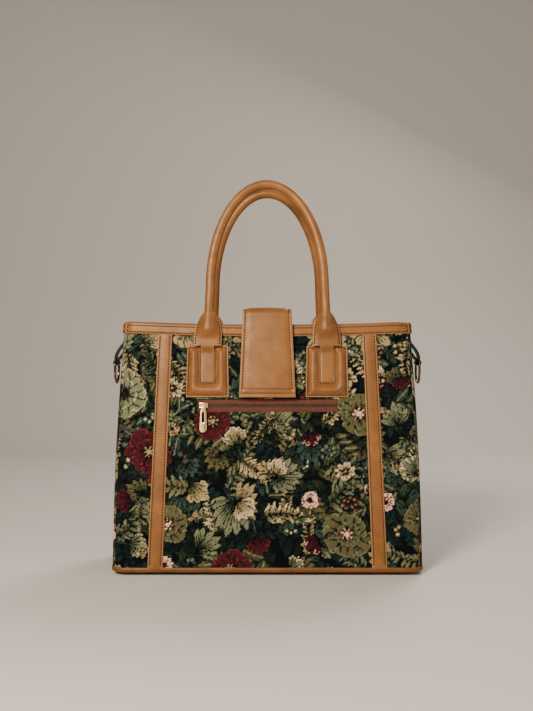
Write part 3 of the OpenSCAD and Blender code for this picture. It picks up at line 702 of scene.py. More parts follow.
    def fan(self, x, y, turn, length, tint, heart, count=7):
        """Lobed leaf: leaflets that spread from one foot."""
        for k in range(count):
            way = turn + (k - (count - 1) / 2) * 0.36 + self.chance.uniform(-0.08, 0.08)
            size = length * (1 - 0.09 * abs(k - (count - 1) / 2))
            self.petal((x, y), way, size, size * 0.3, tint, heart, None, 0.58, None, 0.0, 2)

    def spray(self, x, y, turn, length):
        """A large lobed leaf with a paler leaf and a small flower at its foot."""
        self.fan(x, y, turn, length, SHADES["sage"], SHADES["pine"], 9)
        self.fan(x, y, turn + 2.6, length * 0.7, SHADES["khaki"], SHADES["moss"], 5)
        self.cup(x, y, turn + 1.2, length * 0.6, SHADES["sand"], SHADES["olive"], SHADES["blush"])

    def berries(self, x, y, tint, glint):
        turn = self.chance.uniform(0, math.tau)
        for k in range(self.chance.choice((3, 4, 6))):
            turn += self.chance.uniform(0.5, 1.4)
            away = (3 + 1.6 * k) * MM
            size = self.chance.uniform(2.2, 3.6) * MM
            self.disc(x + away * math.cos(turn), y + away * math.sin(turn), size, tint, glint)

    def spread(self, count, taken):
        """Places that keep away from each other and from those taken."""
        places = []
        for _ in range(count):
            tries = [
                (self.chance.uniform(0, self.width), self.chance.uniform(0, self.height)) for _ in range(10)
            ]
            known = np.array(taken + places) if taken or places else np.array([(9.0, 9.0)])
            gaps = [np.min(np.hypot(known[:, 0] - px, known[:, 1] - py)) for px, py in tries]
            places.append(tries[int(np.argmax(gaps))])
        return places

    def shade(self, *names):
        return SHADES[self.chance.choice(names)]

    def paint(self):
        chance = self.chance
        area = self.width * self.height

        def any_turn():
            return chance.uniform(0, math.tau)

        for x, y in self.spread(round(1500 * area), []):
            self.fan(x, y, any_turn(), chance.uniform(18, 34) * MM, self.shade("night", "pine", "teal"),
                     self.shade("night", "pine"), 5)
        for x, y in self.spread(round(800 * area), []):
            self.branch(x, y, any_turn(), chance.uniform(35, 70) * MM, chance.uniform(14, 24) * MM,
                        self.shade("pine", "teal", "moss"), SHADES["night"], 0.42)
        large = self.spread(round(120 * area), [])
        for x, y in self.spread(round(430 * area), []):
            self.branch(x, y, any_turn(), chance.uniform(40, 75) * MM, chance.uniform(15, 26) * MM,
                        self.shade("moss", "fern", "olive"), self.shade("pine", "moss"), 0.44,
                        self.shade("pine", "sage"))
        for x, y in self.spread(round(330 * area), large):
            self.fan(x, y, any_turn(), chance.uniform(20, 34) * MM, self.shade("fern", "olive", "sage"),
                     self.shade("pine", "moss"))
        for x, y in self.spread(round(230 * area), large):
            self.branch(x, y, any_turn(), chance.uniform(30, 60) * MM, chance.uniform(10, 18) * MM,
                        self.shade("khaki", "sage", "sand"), self.shade("olive", "moss"), 0.32)
        for k, (x, y) in enumerate(large):
            radius = chance.uniform(24, 34) * MM
            if k % 5 == 0:
                self.bloom(x, y, radius, SHADES["sage"], SHADES["moss"], SHADES["sand"], SHADES["plum"])
            elif k % 5 == 1:
                self.aster(x, y, radius, SHADES["khaki"], SHADES["moss"], SHADES["wine"])
            elif k % 5 == 2:
                self.bloom(x, y, radius * 0.9, SHADES["wine"], SHADES["plum"], SHADES["rose"],
                           SHADES["khaki"])
            elif k % 5 == 3:
                self.spray(x, y, any_turn(), radius * 1.3)
            else:
                self.bloom(x, y, radius, SHADES["olive"], SHADES["pine"], SHADES["sage"], SHADES["blush"])
        middle = self.spread(round(260 * area), large)
        for k, (x, y) in enumerate(middle):
            size = chance.uniform(17, 26) * MM
            if k % 6 in (0, 2):
                self.cup(x, y, any_turn(), size, self.shade("khaki", "sage"), SHADES["moss"],
                         self.shade("sand", "cream"))
            elif k % 6 == 1:
                self.cup(x, y, any_turn(), size, SHADES["wine"], SHADES["plum"], self.shade("rose", "blush"))
            elif k % 6 == 3:
                self.bloom(x, y, size * 0.6, SHADES["blush"], SHADES["rose"], SHADES["cream"], SHADES["wine"])
            elif k % 6 == 4:
                self.aster(x, y, size * 0.65, SHADES["sand"], SHADES["olive"], SHADES["wine"])
            else:
                self.fan(x, y, any_turn(), size * 1.2, SHADES["khaki"], SHADES["olive"], 6)
        for x, y in self.spread(round(300 * area), large + middle):
            self.berries(x, y, self.shade("wine", "olive", "khaki", "fern"),
                         self.shade("rose", "sand", "sage"))

    def at(self, x, y):
        """Colours at arrays of places, in metres on the cloth."""
        i = np.clip(np.round(x / self.cell), 0, self.x.shape[1] - 1).astype(int)
        j = np.clip(np.round(y / self.cell), 0, self.x.shape[0] - 1).astype(int)
        return self.colour[j, i]


cloth = Cloth(0.84, 0.62, 11)
cloth.paint()

# Cut sizes of the cloth, from the sizes of the body
TURN_IN = 2 * MM
LINING_LOW = 9.7 * MM
LINING_HIGH = RIM_H - 5 * MM
LINING_INSET = 6.2 * MM
LINING_RIM_INSET = 3.1 * MM
LINING_TURN_LOW = 255 * MM
LINING_TURN_RUN = 30 * MM
LINING_FOLD_TOP = 270 * MM
LINING_FOLD_RUN = 40 * MM


def up_wall(low, high, half):
    """Length up a wall that leans in between two heights."""
    return math.hypot(high - low, half(low) - half(high))


def widest_and_mean(low, high, width):
    found = [width(z) for z in steps(low, high, 60)]
    return max(found), sum(found) / len(found)


def wall_cut(flat_at, half, dips, window=False):
    """Flat size and area of a wall's cloth, which goes round half of each corner to its seams."""
    length = up_wall(WALL_LOW, RIM_H, half)
    widest, mean = widest_and_mean(WALL_LOW, RIM_H, lambda z: 2 * (flat_at(z) + CORNER_R * SEAM_ANGLE))
    area = mean * length
    if dips:
        # The dip takes two thirds of the box round it
        area -= 4 / 3 * RIM_DIP * flat_w(RIM_H)
    if window:
        area += 2 * (ZIP_L + ZIP_H) * TURN_IN - ZIP_L * ZIP_H
    return (widest, length), area


def lining_inset(z):
    return mix(LINING_INSET, LINING_RIM_INSET, ease((z - LINING_TURN_LOW) / LINING_TURN_RUN))


def lining_cut():
    """Flat size and area of the lining: one length down the front, under the base and up the back."""
    def round_at(z):
        return 4 * (flat_w(z) + flat_d(z)) + math.tau * (CORNER_R - lining_inset(z))

    length = up_wall(LINING_LOW, LINING_HIGH, half_d)
    widest, mean = widest_and_mean(LINING_LOW, LINING_HIGH, round_at)
    corner = CORNER_R - LINING_INSET
    base_w = 2 * (flat_w(LINING_LOW) + corner)
    base_d = 2 * (flat_d(LINING_LOW) + corner)
    base = base_w * base_d - (4 - math.pi) * corner ** 2
    return (widest / 2, 2 * length + base_d), mean * length + base


# Walls of cloth
WALL_CELL = 1.15 * MM
DIP_LOW = 240 * MM
DIP_RUN = 59 * MM
MID_Z = 0.15


def slack(x, z, side):
    """Small unevenness of the cloth, none at the strips' edges."""
    strip = mix(STRIP_FOOT_X, STRIP_TOP_X, rise(z))
    free = clamp01((abs(abs(x) - strip) - 9 * MM) / (14 * MM))
    free *= clamp01((RIM_H - BAND_H - z) / (12 * MM)) * clamp01((z - 14 * MM) / (12 * MM))
    return 0.9 * MM * free * noise.noise((x * 22, z * 22, side * 5))


def wall_level(s, v):
    level = mix(WALL_LOW, RIM_H, v)
    return level - (RIM_H - rim_level(s, True)) * ease((level - DIP_LOW) / DIP_RUN)


def weave_onto(made, corner):
    """Colours every corner of a wall from its place on the length of cloth."""
    mesh = made.data
    spots = np.empty(len(mesh.vertices) * 3)
    mesh.attributes["cut"].data.foreach_get("vector", spots)
    spots = spots.reshape(-1, 3)
    colours = np.ones((len(spots), 4))
    colours[:, :3] = cloth.at(corner[0] + spots[:, 0], corner[1] + spots[:, 1])
    attribute = mesh.color_attributes.new("weave", "FLOAT_COLOR", "POINT")
    attribute.data.foreach_set("color", colours.ravel())


def make_wall(round_place, flat, seed, dips, window=False):
    """A sheet of cloth from binding to rim; its layer cut keeps each corner's place on the flat cloth."""
    bm = bmesh.new()
    cut = bm.verts.layers.float_vector.new("cut")
    columns = past_corners(steps(-1, 1, round(2 * flat / WALL_CELL)), SEAM_ANGLE, 11)
    levels = steps(0, 1, round((RIM_H - WALL_LOW) / WALL_CELL))

    def place(s, v):
        z = wall_level(s, v) if dips else mix(WALL_LOW, RIM_H, v)
        p = round_place(s, z)
        return round_place(s, z, slack(p.x, z, seed)) if dips else p

    for spot in laid(bm, columns, levels, place):
        across = spot.co.x if dips else spot.co.y
        deep = abs(spot.co.y) if dips else abs(spot.co.x)
        spot[cut] = (across, spot.co.z, deep)
    if window:
        cut_window(bm)
    return bm


def cut_window(bm):
    """Opens the window of the pocket and turns the cloth in round it."""
    low = ZIP_Z - ZIP_H / 2
    high = ZIP_Z + ZIP_H / 2
    side = ZIP_L / 2
    for plane, way in (((0, 0, low), (0, 0, 1)), ((0, 0, high), (0, 0, 1)),
                       ((-side, 0, 0), (1, 0, 0)), ((side, 0, 0), (1, 0, 0))):
        geom = [*bm.verts, *bm.edges, *bm.faces]
        bmesh.ops.bisect_plane(bm, geom=geom, dist=0.01 * MM, plane_co=plane, plane_no=way)
    middles = {face: face.calc_center_median() for face in bm.faces}
    hole = [face for face, p in middles.items() if abs(p.x) < side and low < p.z < high]
    bmesh.ops.delete(bm, geom=hole, context="FACES")
    rim = [
        edge for edge in open_edges(bm)
        if all(abs(end.co.x) < side + MM and low - MM < end.co.z < high + MM for end in edge.verts)
    ]
    turned = bmesh.ops.extrude_edge_only(bm, edges=rim)["geom"]
    inner = [item for item in turned if isinstance(item, bmesh.types.BMVert)]
    bmesh.ops.translate(bm, verts=inner, vec=(0, TURN_IN, 0))


def wall_piece(name, bm, corner, node):
    """Turns the faces of a wall outwards and dresses it."""
    inward = [face for face in bm.faces if face.normal.dot(face.calc_center_median() - MIDDLE) < 0]
    if len(inward) > len(bm.faces) / 2:
        bmesh.ops.reverse_faces(bm, faces=bm.faces)
    made = finished(name, bm, TAPESTRY, 80)
    weave_onto(made, corner)
    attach(made, "bag")
    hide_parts(node)


MIDDLE = Vector((0, 0, MID_Z))
FRONT_FLAT = flat_w(MID_Z)
SIDE_FLAT = flat_d(MID_Z)
FRONT_CUT = wall_cut(flat_w, half_d, True, True)
BACK_CUT = wall_cut(flat_w, half_d, True)
SIDE_CUT = wall_cut(flat_d, half_w, False)
front_wall = make_wall(front_round, FRONT_FLAT, 1, True, True)
wall_piece("front_cloth", front_wall, (0.21, 0.0), "front_panel")
back_wall = half_turn(make_wall(front_round, FRONT_FLAT, 2, True))
wall_piece("back_cloth", back_wall, (0.62, 0.01), "back_panel")
right_wall = make_wall(side_round, SIDE_FLAT, 3, False)
wall_piece("right_cloth", right_wall, (0.11, 0.31), "right_gusset")
left_wall = half_turn(make_wall(side_round, SIDE_FLAT, 4, False))
wall_piece("left_cloth", left_wall, (0.34, 0.31), "left_gusset")

# Flat leather on the walls
EDGE_STEPS = [d * MM for d in (0, 0.3, 0.7, 1.2, 1.7, 2.3, 2.9, 3.6)]


def lifted(d, thick, pad=0.0, groove=0.45 * MM):
    """Height of leather at a distance from its edge: rolled edge, row of stitches, padding."""
    rolled = thick * math.sqrt(1 - (1 - clamp01(0.25 + 0.75 * d / (1.0 * MM))) ** 2)
    return rolled - groove * bump_at(d, STITCH_INSET, 0.75 * MM) + pad * ease((d - 2.8 * MM) / (6 * MM))


# Share of the lighter tone at a leather edge, by distance from it: partly the cut edge's own tone, partly a
# painted highlight along the rounded edge.
def raw_and_highlight_share(d):
    return 0.55 * (1 - ease((d - 0.3 * MM) / (0.9 * MM)))


SUNK = -0.4 * MM


def strip_bm(side):
    low = WALL_LOW - 1 * MM
    high = rim_over(STRIP_TOP_X) - BAND_H + 2.5 * MM
    us = [2 * d / STRIP_TOP_W - 1 for d in both_ends(STRIP_TOP_W, EDGE_STEPS, 1.2 * MM)]
    vs = steps(low, high, 110)

    def spot(u, z):
        width = mix(STRIP_FOOT_W, STRIP_TOP_W, rise(z))
        return side * mix(STRIP_FOOT_X, STRIP_TOP_X, rise(z)) + u * width / 2, (1 - abs(u)) * width / 2

    def top(u, z):
        x, d = spot(u, z)
        under_band = mix(0.5, 1.0, ease((high - 2 * MM - z) / (3 * MM)))
        return on_front(x, z, under_band * lifted(d, LEATHER + 0.2 * MM, 0.3 * MM))

    def under(u, z):
        return on_front(spot(u, z)[0], z, SUNK)

    # The strip's edges are lighter: cut-edge tone and a painted highlight.
    return slab(us, vs, top, under, lambda u, z: raw_and_highlight_share(spot(u, z)[1]))


def patch_half_w(z):
    return mix(PATCH_FOOT_W, PATCH_TOP_W, (z - PATCH_TOP + PATCH_H) / PATCH_H) / 2


SLOT_LOW = PATCH_TOP - SLOT_H


def patch_gap(x, z):
    """Distance from a place on the patch to its nearest edge, x from its middle."""
    outer = min(patch_half_w(z) - abs(x), z - (PATCH_TOP - PATCH_H), PATCH_TOP - z)
    dx = max(0.0, abs(x) - SLOT_W / 2)
    dz = max(0.0, SLOT_LOW - z)
    return max(0.0, min(outer, math.hypot(dx, dz)))


def puffed(d):
    """Share of the padding at a distance from one edge: nothing as far as the seam, then a round rise."""
    return math.sin(math.pi / 2 * clamp01((d - STITCH_INSET - 0.5 * MM) / (7 * MM)))


def patch_padding(x, z):
    slot = math.hypot(max(0.0, abs(x) - SLOT_W / 2), max(0.0, SLOT_LOW - z))
    sides = puffed(patch_half_w(z) - x) * puffed(patch_half_w(z) + x)
    return PATCH_PAD * sides * puffed(z - PATCH_TOP + PATCH_H) * puffed(PATCH_TOP - z) * puffed(slot)


def patch_bm(side):
    arm = (PATCH_TOP_W - SLOT_W) / 2
    arm_steps = both_ends(arm, EDGE_STEPS, 1.1 * MM)
    half = PATCH_TOP_W / 2
    left = [(d - half) / half for d in arm_steps]
    slot = steps(left[-1], -left[-1], 14)[1:-1]
    us = left + slot + [-u for u in reversed(left)]
    foot = PATCH_H - SLOT_H
    low_rows = both_ends(foot, EDGE_STEPS, 1.1 * MM)
    arm_rows = both_ends(SLOT_H, EDGE_STEPS, 1.3 * MM)[1:]
    vs = [PATCH_TOP - PATCH_H + d for d in low_rows] + [SLOT_LOW + d for d in arm_rows]
    u_slot = -left[-1]

    def keep(u, z):
        return abs(u) > u_slot or z < SLOT_LOW

    def top(u, z):
        x = u * patch_half_w(z)
        height = lifted(patch_gap(x, z), 2.1 * MM, 0.0, 0.5 * MM) + patch_padding(x, z)
        height += 0.3 * MM * noise.noise((x * 60, z * 60, 3 + side)) * ease(patch_gap(x, z) / (6 * MM))
        return on_front(side * PATCH_X + x, z, height)

    def under(u, z):
        return on_front(side * PATCH_X + u * patch_half_w(z), z, SUNK)

    # The patch's edges are lighter, the cut edge's tone and a painted highlight; beside the slot only a
    # little.
    def raw_and_highlight(u, z):
        x = u * patch_half_w(z)
        beside_slot = abs(x) < SLOT_W / 2 + 3 * MM and z > SLOT_LOW - 3 * MM
        return raw_and_highlight_share(patch_gap(x, z)) * (0.2 if beside_slot else 1.0)

    return slab(us, vs, top, under, raw_and_highlight, keep)


def trim_piece(name, bm, node, material=TAN, body="bag"):
    made = finished(name, bm, material)
    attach(made, body)
    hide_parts(*([node] if isinstance(node, str) else node))
    return made


for label, side in (("left", -1), ("right", 1)):
    trim_piece(f"front_{label}_strip_leather", strip_bm(side), f"front_{label}_strip")
    patch = trim_piece(f"front_{label}_patch_leather", patch_bm(side), f"front_{label}_patch")
    # The back is the front turned half round, so its left is the front's right
    trim_piece(f"back_{label}_strip_leather", half_turn(strip_bm(-side)), f"back_{label}_strip")
    patch = trim_piece(f"back_{label}_patch_leather", half_turn(patch_bm(-side)), f"back_{label}_patch")

# Bands folded over the rim
BAND_OUT = 1.8 * MM
BAND_IN = -5.0 * MM
BAND_END = math.radians(44)


def band_section():
    """Outline of the folded band: how far out of the wall and how far above the rim."""
    spots = [(BAND_OUT - 0.5 * MM, -BAND_H), (BAND_OUT - 0.1 * MM, -BAND_H + 0.3 * MM)]
    for down in steps(BAND_H - 0.8 * MM, 2.2 * MM, 16):
        dent = 0.4 * MM * sum(bump_at(down, row, 0.7 * MM) for row in BAND_ROWS)
        spots.append((BAND_OUT + 0.15 * MM - dent, -down))
    middle = (BAND_OUT + BAND_IN) / 2
    half = (BAND_OUT - BAND_IN) / 2
    for k in range(1, 12):
        turn = math.pi * k / 12
        spots.append((middle + half * math.cos(turn), -1.4 * MM + 3.2 * MM * math.sin(turn)))
    for down in steps(2.6 * MM, BAND_H - 0.3 * MM, 4):
        spots.append((BAND_IN, -down))
    spots.append((BAND_IN + 0.6 * MM, -BAND_H))
    return spots


def band_bm(round_place, dips):
    section = band_section()
    section.append(section[0])
    flat = 2 * flat_w(RIM_H) if dips else 2 * flat_d(RIM_H)
    stations = past_corners(steps(-1, 1, round(flat / (4 * MM))), BAND_END, 9)
    us = list(range(len(section)))

    def place(u, s):
        out, up = section[u]
        return round_place(s, rim_level(s, dips) + up, out)

    # The band's lower lip and its ends are lighter: the cut edge's tone and a painted highlight.
    def raw_and_highlight(u, s):
        low = 0.5 if u in (0, 1, len(section) - 1) else 0.0
        return max(low, raw_and_highlight_share((1 + BAND_END - abs(s)) * CORNER_R))

    return tube(us, stations, place, raw_and_highlight)


trim_piece("front_band_leather", band_bm(front_round, True), "front_rim_band")
trim_piece("back_band_leather", half_turn(band_bm(front_round, True)), "back_rim_band")
trim_piece("right_band_leather", band_bm(side_round, False), "right_rim_band")
trim_piece("left_band_leather", half_turn(band_bm(side_round, False)), "left_rim_band")


# Binding round the base
def round_body(t, z, out):
    """Once round the body: t from 0 to 4, a quarter from corner middle to corner middle each."""
    k = int(t) % 4
    share = t - int(t)
    turn = SEAM_ANGLE
    if share < 0.1:
        s = -1 - turn * (1 - share / 0.1)
    elif share > 0.9:
        s = 1 + turn * (share - 0.9) / 0.1
    else:
        s = (share - 0.5) / 0.4
    p = side_round(s, z, out) if k % 2 else front_round(s, z, out)
    return Vector((-p.x, -p.y, p.z)) if k > 1 else p


def binding_bm():
    shares = [k / 60 for k in range(6)] + steps(0.1, 0.9, 40) + [0.9 + k / 60 for k in range(1, 6)]
    stations = [k + share for k in range(4) for share in shares] + [4.0]
    us = steps(0, math.tau, 20)

    def place(a, t):
        out = -1.3 * MM + 2.3 * MM * math.cos(a)
        z = 7.3 * MM + 3.2 * MM * math.copysign(abs(math.sin(a)) ** 0.9, math.sin(a))
        return round_body(t, z, out)

    return tube(us, stations, place, None, True)


# The binding takes the darker copy of the tan leather, which paints in its shade.
trim_piece("base_binding_leather", binding_bm(), "base_binding", SHADED_TAN)


# Handles
def handle_back(z):
    if z < RIM_H:
        return front_y(LEG_X, z, SPADE_STAND)
    return mix(front_y(LEG_X, RIM_H, SPADE_STAND), CREST_BACK_Y, (z - RIM_H) / (CREST_Z - RIM_H))


def leg_x(z):
    return mix(PATCH_X, LEG_X, clamp01((z - FLEX_Z) / (SHOULDER_Z - FLEX_Z)))


def spade_half_w(z):
    t = clamp01((z - SPADE_LOW) / (SPADE_HIGH - SPADE_LOW))
    return mix(SPADE_HALF_W, TUBE_R, t**3.4)


def tube_peak(a, z):
    """The rolled edge that runs along the front of the tube, and the seam on its inner side."""
    peak = mix(1.5 * math.pi, 1.76 * math.pi, ease((z - PEAK_LOW) / PEAK_RUN))
    return 1 + 0.10 * math.exp(-abs(a - peak) / 0.42) - 0.04 * bump_at(a, math.pi, 0.16)


AROUND = steps(0, math.tau, 48)


def spade_ridge(x, z):
    """How far the core of the tube still stands out of the flat spade below it."""
    bell = max(0.0, 1 - (x / spade_half_w(z)) ** 2) ** 2
    return (2 * TUBE_R - SPADE_T) * bell * ease((z - RIDGE_LOW) / RIDGE_RUN)


def leg_point(a, z):
    """A point of the right leg: strap in the patch's slot, flat spade with a ridge, then the tube."""
    c = math.cos(a)
    s = math.sin(a)
    roll = ease((z - ROLL_LOW) / (SPADE_HIGH - ROLL_LOW))
    half = STRAP_HALF_W if z < SPADE_LOW else spade_half_w(z)
    lift = ease((z - LIFT_LOW) / LIFT_RUN)
    thick = mix(STRAP_T, SPADE_T, lift) / 2
    peak = mix(1.0, tube_peak(a, z), roll)
    x = half * peak * math.copysign(mix(abs(c) ** 0.5, abs(c), roll), c)
    flat_y = thick * (math.copysign(abs(s) ** 0.5, s) - 1)
    if s < 0 and z > SPADE_LOW:
        flat_y -= spade_ridge(x, z)
        flat_y += 0.35 * MM * bump_at(half - abs(x), SPADE_INSET, 0.8 * MM)
    y = mix(flat_y, TUBE_R * (peak * s - 1), roll)
    if z < RIM_H:
        back = front_y(LEG_X, z, mix(0.1 * MM, SPADE_STAND, lift))
    else:
        back = handle_back(z)
    return Vector((leg_x(z) + x, back + y, z))


def arch_point(a, turn):
    rz = CREST_Z - SHOULDER_Z
    z = SHOULDER_Z + rz * math.sin(turn)
    middle = Vector((LEG_X * math.cos(turn), handle_back(z) - TUBE_R, z))
    across = Vector((rz * math.cos(turn), 0, LEG_X * math.sin(turn))).normalized()
    r = TUBE_R * tube_peak(a, z)
    return middle + across * r * math.cos(a) + Vector((0, 1, 0)) * r * math.sin(a)


LEG_LEVELS = (
    [STRAP_LOW, STRAP_LOW + 0.4 * MM, STRAP_LOW + 1.2 * MM]
    + steps(STRAP_LOW + 3 * MM, 0.262, 12)
    + steps(0.263, 0.2715, 9)
    + [SPADE_LOW, SPADE_LOW + 0.5 * MM]
    + steps(0.2732, SPADE_HIGH, 34)
    + steps(0.316, SHOULDER_Z, 8)
)
ARCH_TURNS = [math.pi * k / 80 for k in range(1, 80)]


def handle_station(a, k):
    legs = len(LEG_LEVELS)
    if k < legs:
        return leg_point(a, LEG_LEVELS[k])
    if k < legs + len(ARCH_TURNS):
        return arch_point(a, ARCH_TURNS[k - legs])
    p = leg_point(a, LEG_LEVELS[2 * legs + len(ARCH_TURNS) - 1 - k])
    return Vector((-p.x, p.y, p.z))


# Lighter edges of the strap and spade, fading out up the spade: the cut edge's tone and a painted highlight.
def handle_raw_and_highlight(a, k):
    legs = len(LEG_LEVELS)
    k = min(k, 2 * legs + len(ARCH_TURNS) - 1 - k)
    if k >= legs or LEG_LEVELS[k] > RAW_AND_HIGHLIGHT_LOW + RAW_AND_HIGHLIGHT_RUN:
        return 0.0
    z = LEG_LEVELS[k]
    half = STRAP_HALF_W if z < SPADE_LOW else spade_half_w(z)
    fade = 1 - ease((z - RAW_AND_HIGHLIGHT_LOW) / RAW_AND_HIGHLIGHT_RUN)
    return fade * raw_and_highlight_share(half * (1 - abs(math.cos(a)) ** 0.5))


def handle_bm():
    stations = list(range(2 * len(LEG_LEVELS) + len(ARCH_TURNS)))
    return tube(AROUND, stations, handle_station, handle_raw_and_highlight)


def spade_stitches(bm):
    for side in (-1, 1):
        for edge in (-1, 1):
            def path(t):
                z = mix(SPADE_LOW + 1.5 * MM, SPADE_ROW_TOP, t)
                x = edge * (spade_half_w(z) - SPADE_INSET)
                y = handle_back(z) - SPADE_T - spade_ridge(x, z) + 0.25 * MM
                return Vector((side * leg_x(z) + x, y, z)), Vector((0.25 * edge, -1, 0.1))
            sew(bm, path)
    return bm


def flexing(made, label):
    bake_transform(made)


for label in ("front", "back"):
    bm = handle_bm()
    seams = spade_stitches(bmesh.new())
    if label == "back":
        half_turn(bm)
        half_turn(seams)
    grip = finished(f"{label}_handle_leather", bm, TAN, 50)
    flexing(grip, label)
    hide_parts(f"{label}_handle", f"{label}_left_strap", f"{label}_right_strap")
    rows = finished(f"{label}_handle_stitches", seams, THREAD)
    flexing(rows, label)


# Closing tab
def tab_path():
    """Middle line of the tab from its root at the back to its free end: place in y and z, way out."""
    spots = []
    for z in steps(TAB_ROOT_Z, TAB_HINGE_Z, 26):
        out = mix(1.5 * MM, 3.6 * MM, ease((z - TAB_RISE_LOW) / TAB_RISE_RUN))
        spots.append((-front_y(0, z, out), z, 1.0, 0.12))
    for z in steps(TAB_HINGE_Z, TAB_FOLD_Z, 6)[1:]:
        spots.append((TAB_HINGE_Y, z, 1.0, 0.0))
    for k in range(1, 13):
        a = math.pi / 2 * k / 12
        y = TAB_HINGE_Y - TAB_FOLD_R + TAB_FOLD_R * math.cos(a)
        spots.append((y, TAB_FOLD_Z + TAB_FOLD_R * math.sin(a), math.cos(a), math.sin(a)))
    y_back = TAB_HINGE_Y - TAB_FOLD_R
    y_front = TAB_FRONT_Y + TAB_FOLD_R
    for share in steps(0, 1, 30)[1:]:
        sag = 0.8 * MM * math.sin(math.pi * share)
        spots.append((mix(y_back, y_front, share), TAB_FOLD_Z + TAB_FOLD_R - sag, 0.0, 1.0))
    for k in range(1, 13):
        a = math.pi / 2 + math.pi / 2 * k / 12
        spots.append((y_front + TAB_FOLD_R * math.cos(a), TAB_FOLD_Z + TAB_FOLD_R * math.sin(a),
                      math.cos(a), math.sin(a)))
    near = EDGE_STEPS + [4.4 * MM, 4.8 * MM, 5.2 * MM]
    drops = both_ends(TAB_FOLD_Z - TAB_END_Z, near, 1.5 * MM)
    for z in [TAB_FOLD_Z - d for d in drops if d > 3 * MM]:
        spots.append((front_y(0, z, TAB_STAND + TAB_T / 2), z, -1.0, 0.12))
    return spots


TAB_LINE = tab_path()
TAB_RUN = [0.0]
for a, b in zip(TAB_LINE, TAB_LINE[1:]):
    TAB_RUN.append(TAB_RUN[-1] + math.hypot(b[0] - a[0], b[1] - a[1]))
TAB_LENGTH = TAB_RUN[-1]


def tab_at(run):
    columns = [np.interp(run, TAB_RUN, [spot[k] for spot in TAB_LINE]) for k in range(4)]
    out = Vector((0, columns[2], columns[3])).normalized()
    return Vector((0, columns[0], columns[1])), out


def tab_half_w(run):
    drop = clamp01((run - TAB_LENGTH + TAB_FLARE_RUN) / TAB_FLARE_RUN)
    return mix(TAB_FOLD_W, TAB_END_W, drop) / 2


def tab_gap(u, run):
    return min((1 - abs(u)) * tab_half_w(run), TAB_LENGTH - run, run)


def tab_lift(u, run):
    d = tab_gap(u, run)
    row = 0.45 * MM * bump_at(TAB_LENGTH - run, TAB_CROSS_ROW, 0.9 * MM) * clamp01(d / (2 * MM))
    row += 0.9 * MM * (1 - ease((TAB_LENGTH - run - 4.4 * MM) / (0.7 * MM)))
    row += 0.5 * MM * bump_at(d, TAB_INSET, 0.9 * MM)
    crown = TAB_CROWN * (1 - u * u)
    pad = 0.7 * MM * ease((d - TAB_INSET) / (5 * MM))
    return lifted(d, TAB_T / 2 + 0.3 * MM, 0.0, 0.0) + pad + crown * ease(run / TAB_CROWN_RUN) - row


def on_tab(u, run, height):
    """A place on the tab at a height over its middle line, and the way out of it."""
    spot, out = tab_at(run)
    return spot + out * height + Vector((u * tab_half_w(run), 0, 0)), out


def tab_bm():
    us = [2 * d / TAB_FOLD_W - 1 for d in both_ends(TAB_FOLD_W, EDGE_STEPS, 2 * MM)]

    def top(u, run):
        return on_tab(u, run, tab_lift(u, run))[0]

    def under(u, run):
        return on_tab(u, run, -TAB_T / 2 * clamp01(0.4 + tab_gap(u, run) / MM))[0]

    # The tab's edges are lighter: the cut edge's tone and a painted highlight.
    return slab(us, TAB_RUN, top, under, lambda u, run: raw_and_highlight_share(tab_gap(u, run)))


def tab_stitches(bm):
    """Rows down both edges, then across near the free end and at the root."""
    def sew_row(spot_at):
        def path(t):
            u, run = spot_at(t)
            return on_tab(u, run, tab_lift(u, run) + 0.05 * MM)
        sew(bm, path)

    for edge in (-1, 1):
        def beside(t):
            run = mix(TAB_INSET, TAB_LENGTH - TAB_CROSS_ROW, t)
            return edge * (1 - TAB_INSET / tab_half_w(run)), run
        sew_row(beside)
    for level in (TAB_LENGTH - TAB_CROSS_ROW, TAB_INSET):
        def across(t):
            return mix(-1, 1, t) * (1 - 1.6 * TAB_INSET / tab_half_w(level)), level
        sew_row(across)
    return bm


def lifting(made):
    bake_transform(made)


tab = finished("closing_tab_leather", tab_bm(), TAN, 50)
lifting(tab)
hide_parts("closing_tab", "tab_root")
tab_rows = finished("closing_tab_stitches", tab_stitches(bmesh.new()), THREAD)
lifting(tab_rows)


# Stitches of the bag's own leather
def bag_stitches(name, rows):
    made = finished(name, rows, THREAD)
    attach(made, "bag")


def strip_rows(bm, side):
    for edge in (-1, 1):
        def path(t):
            z = mix(13 * MM, rim_over(STRIP_TOP_X) - BAND_H - 1 * MM, t)
            width = mix(STRIP_FOOT_W, STRIP_TOP_W, rise(z))
            x = side * mix(STRIP_FOOT_X, STRIP_TOP_X, rise(z)) + edge * (width / 2 - STITCH_INSET)
            return on_front(x, z, LEATHER - 0.15 * MM), front_normal(x, z)
        sew(bm, path)


def patch_rows(bm, side):
    height = 1.75 * MM
    low = PATCH_TOP - PATCH_H + STITCH_INSET
    high = PATCH_TOP - STITCH_INSET

    def row(ends):
        def path(t):
            x = side * PATCH_X + mix(ends[0][0], ends[1][0], t)
            z = mix(ends[0][1], ends[1][1], t)
            return on_front(x, z, height), front_normal(x, z)
        return path

    foot_x = patch_half_w(low) - STITCH_INSET
    top_x = patch_half_w(high) - STITCH_INSET
    slot_x = SLOT_W / 2 + SLOT_INSET
    slot_low = SLOT_LOW - SLOT_INSET
    sew(bm, row(((-foot_x, low), (foot_x, low))))
    sew(bm, row(((-slot_x, slot_low), (slot_x, slot_low))))
    for edge in (-1, 1):
        sew(bm, row(((edge * foot_x, low), (edge * top_x, high))))
        sew(bm, row(((edge * slot_x, slot_low), (edge * slot_x, high))))
        sew(bm, row(((edge * slot_x, high), (edge * top_x, high))))


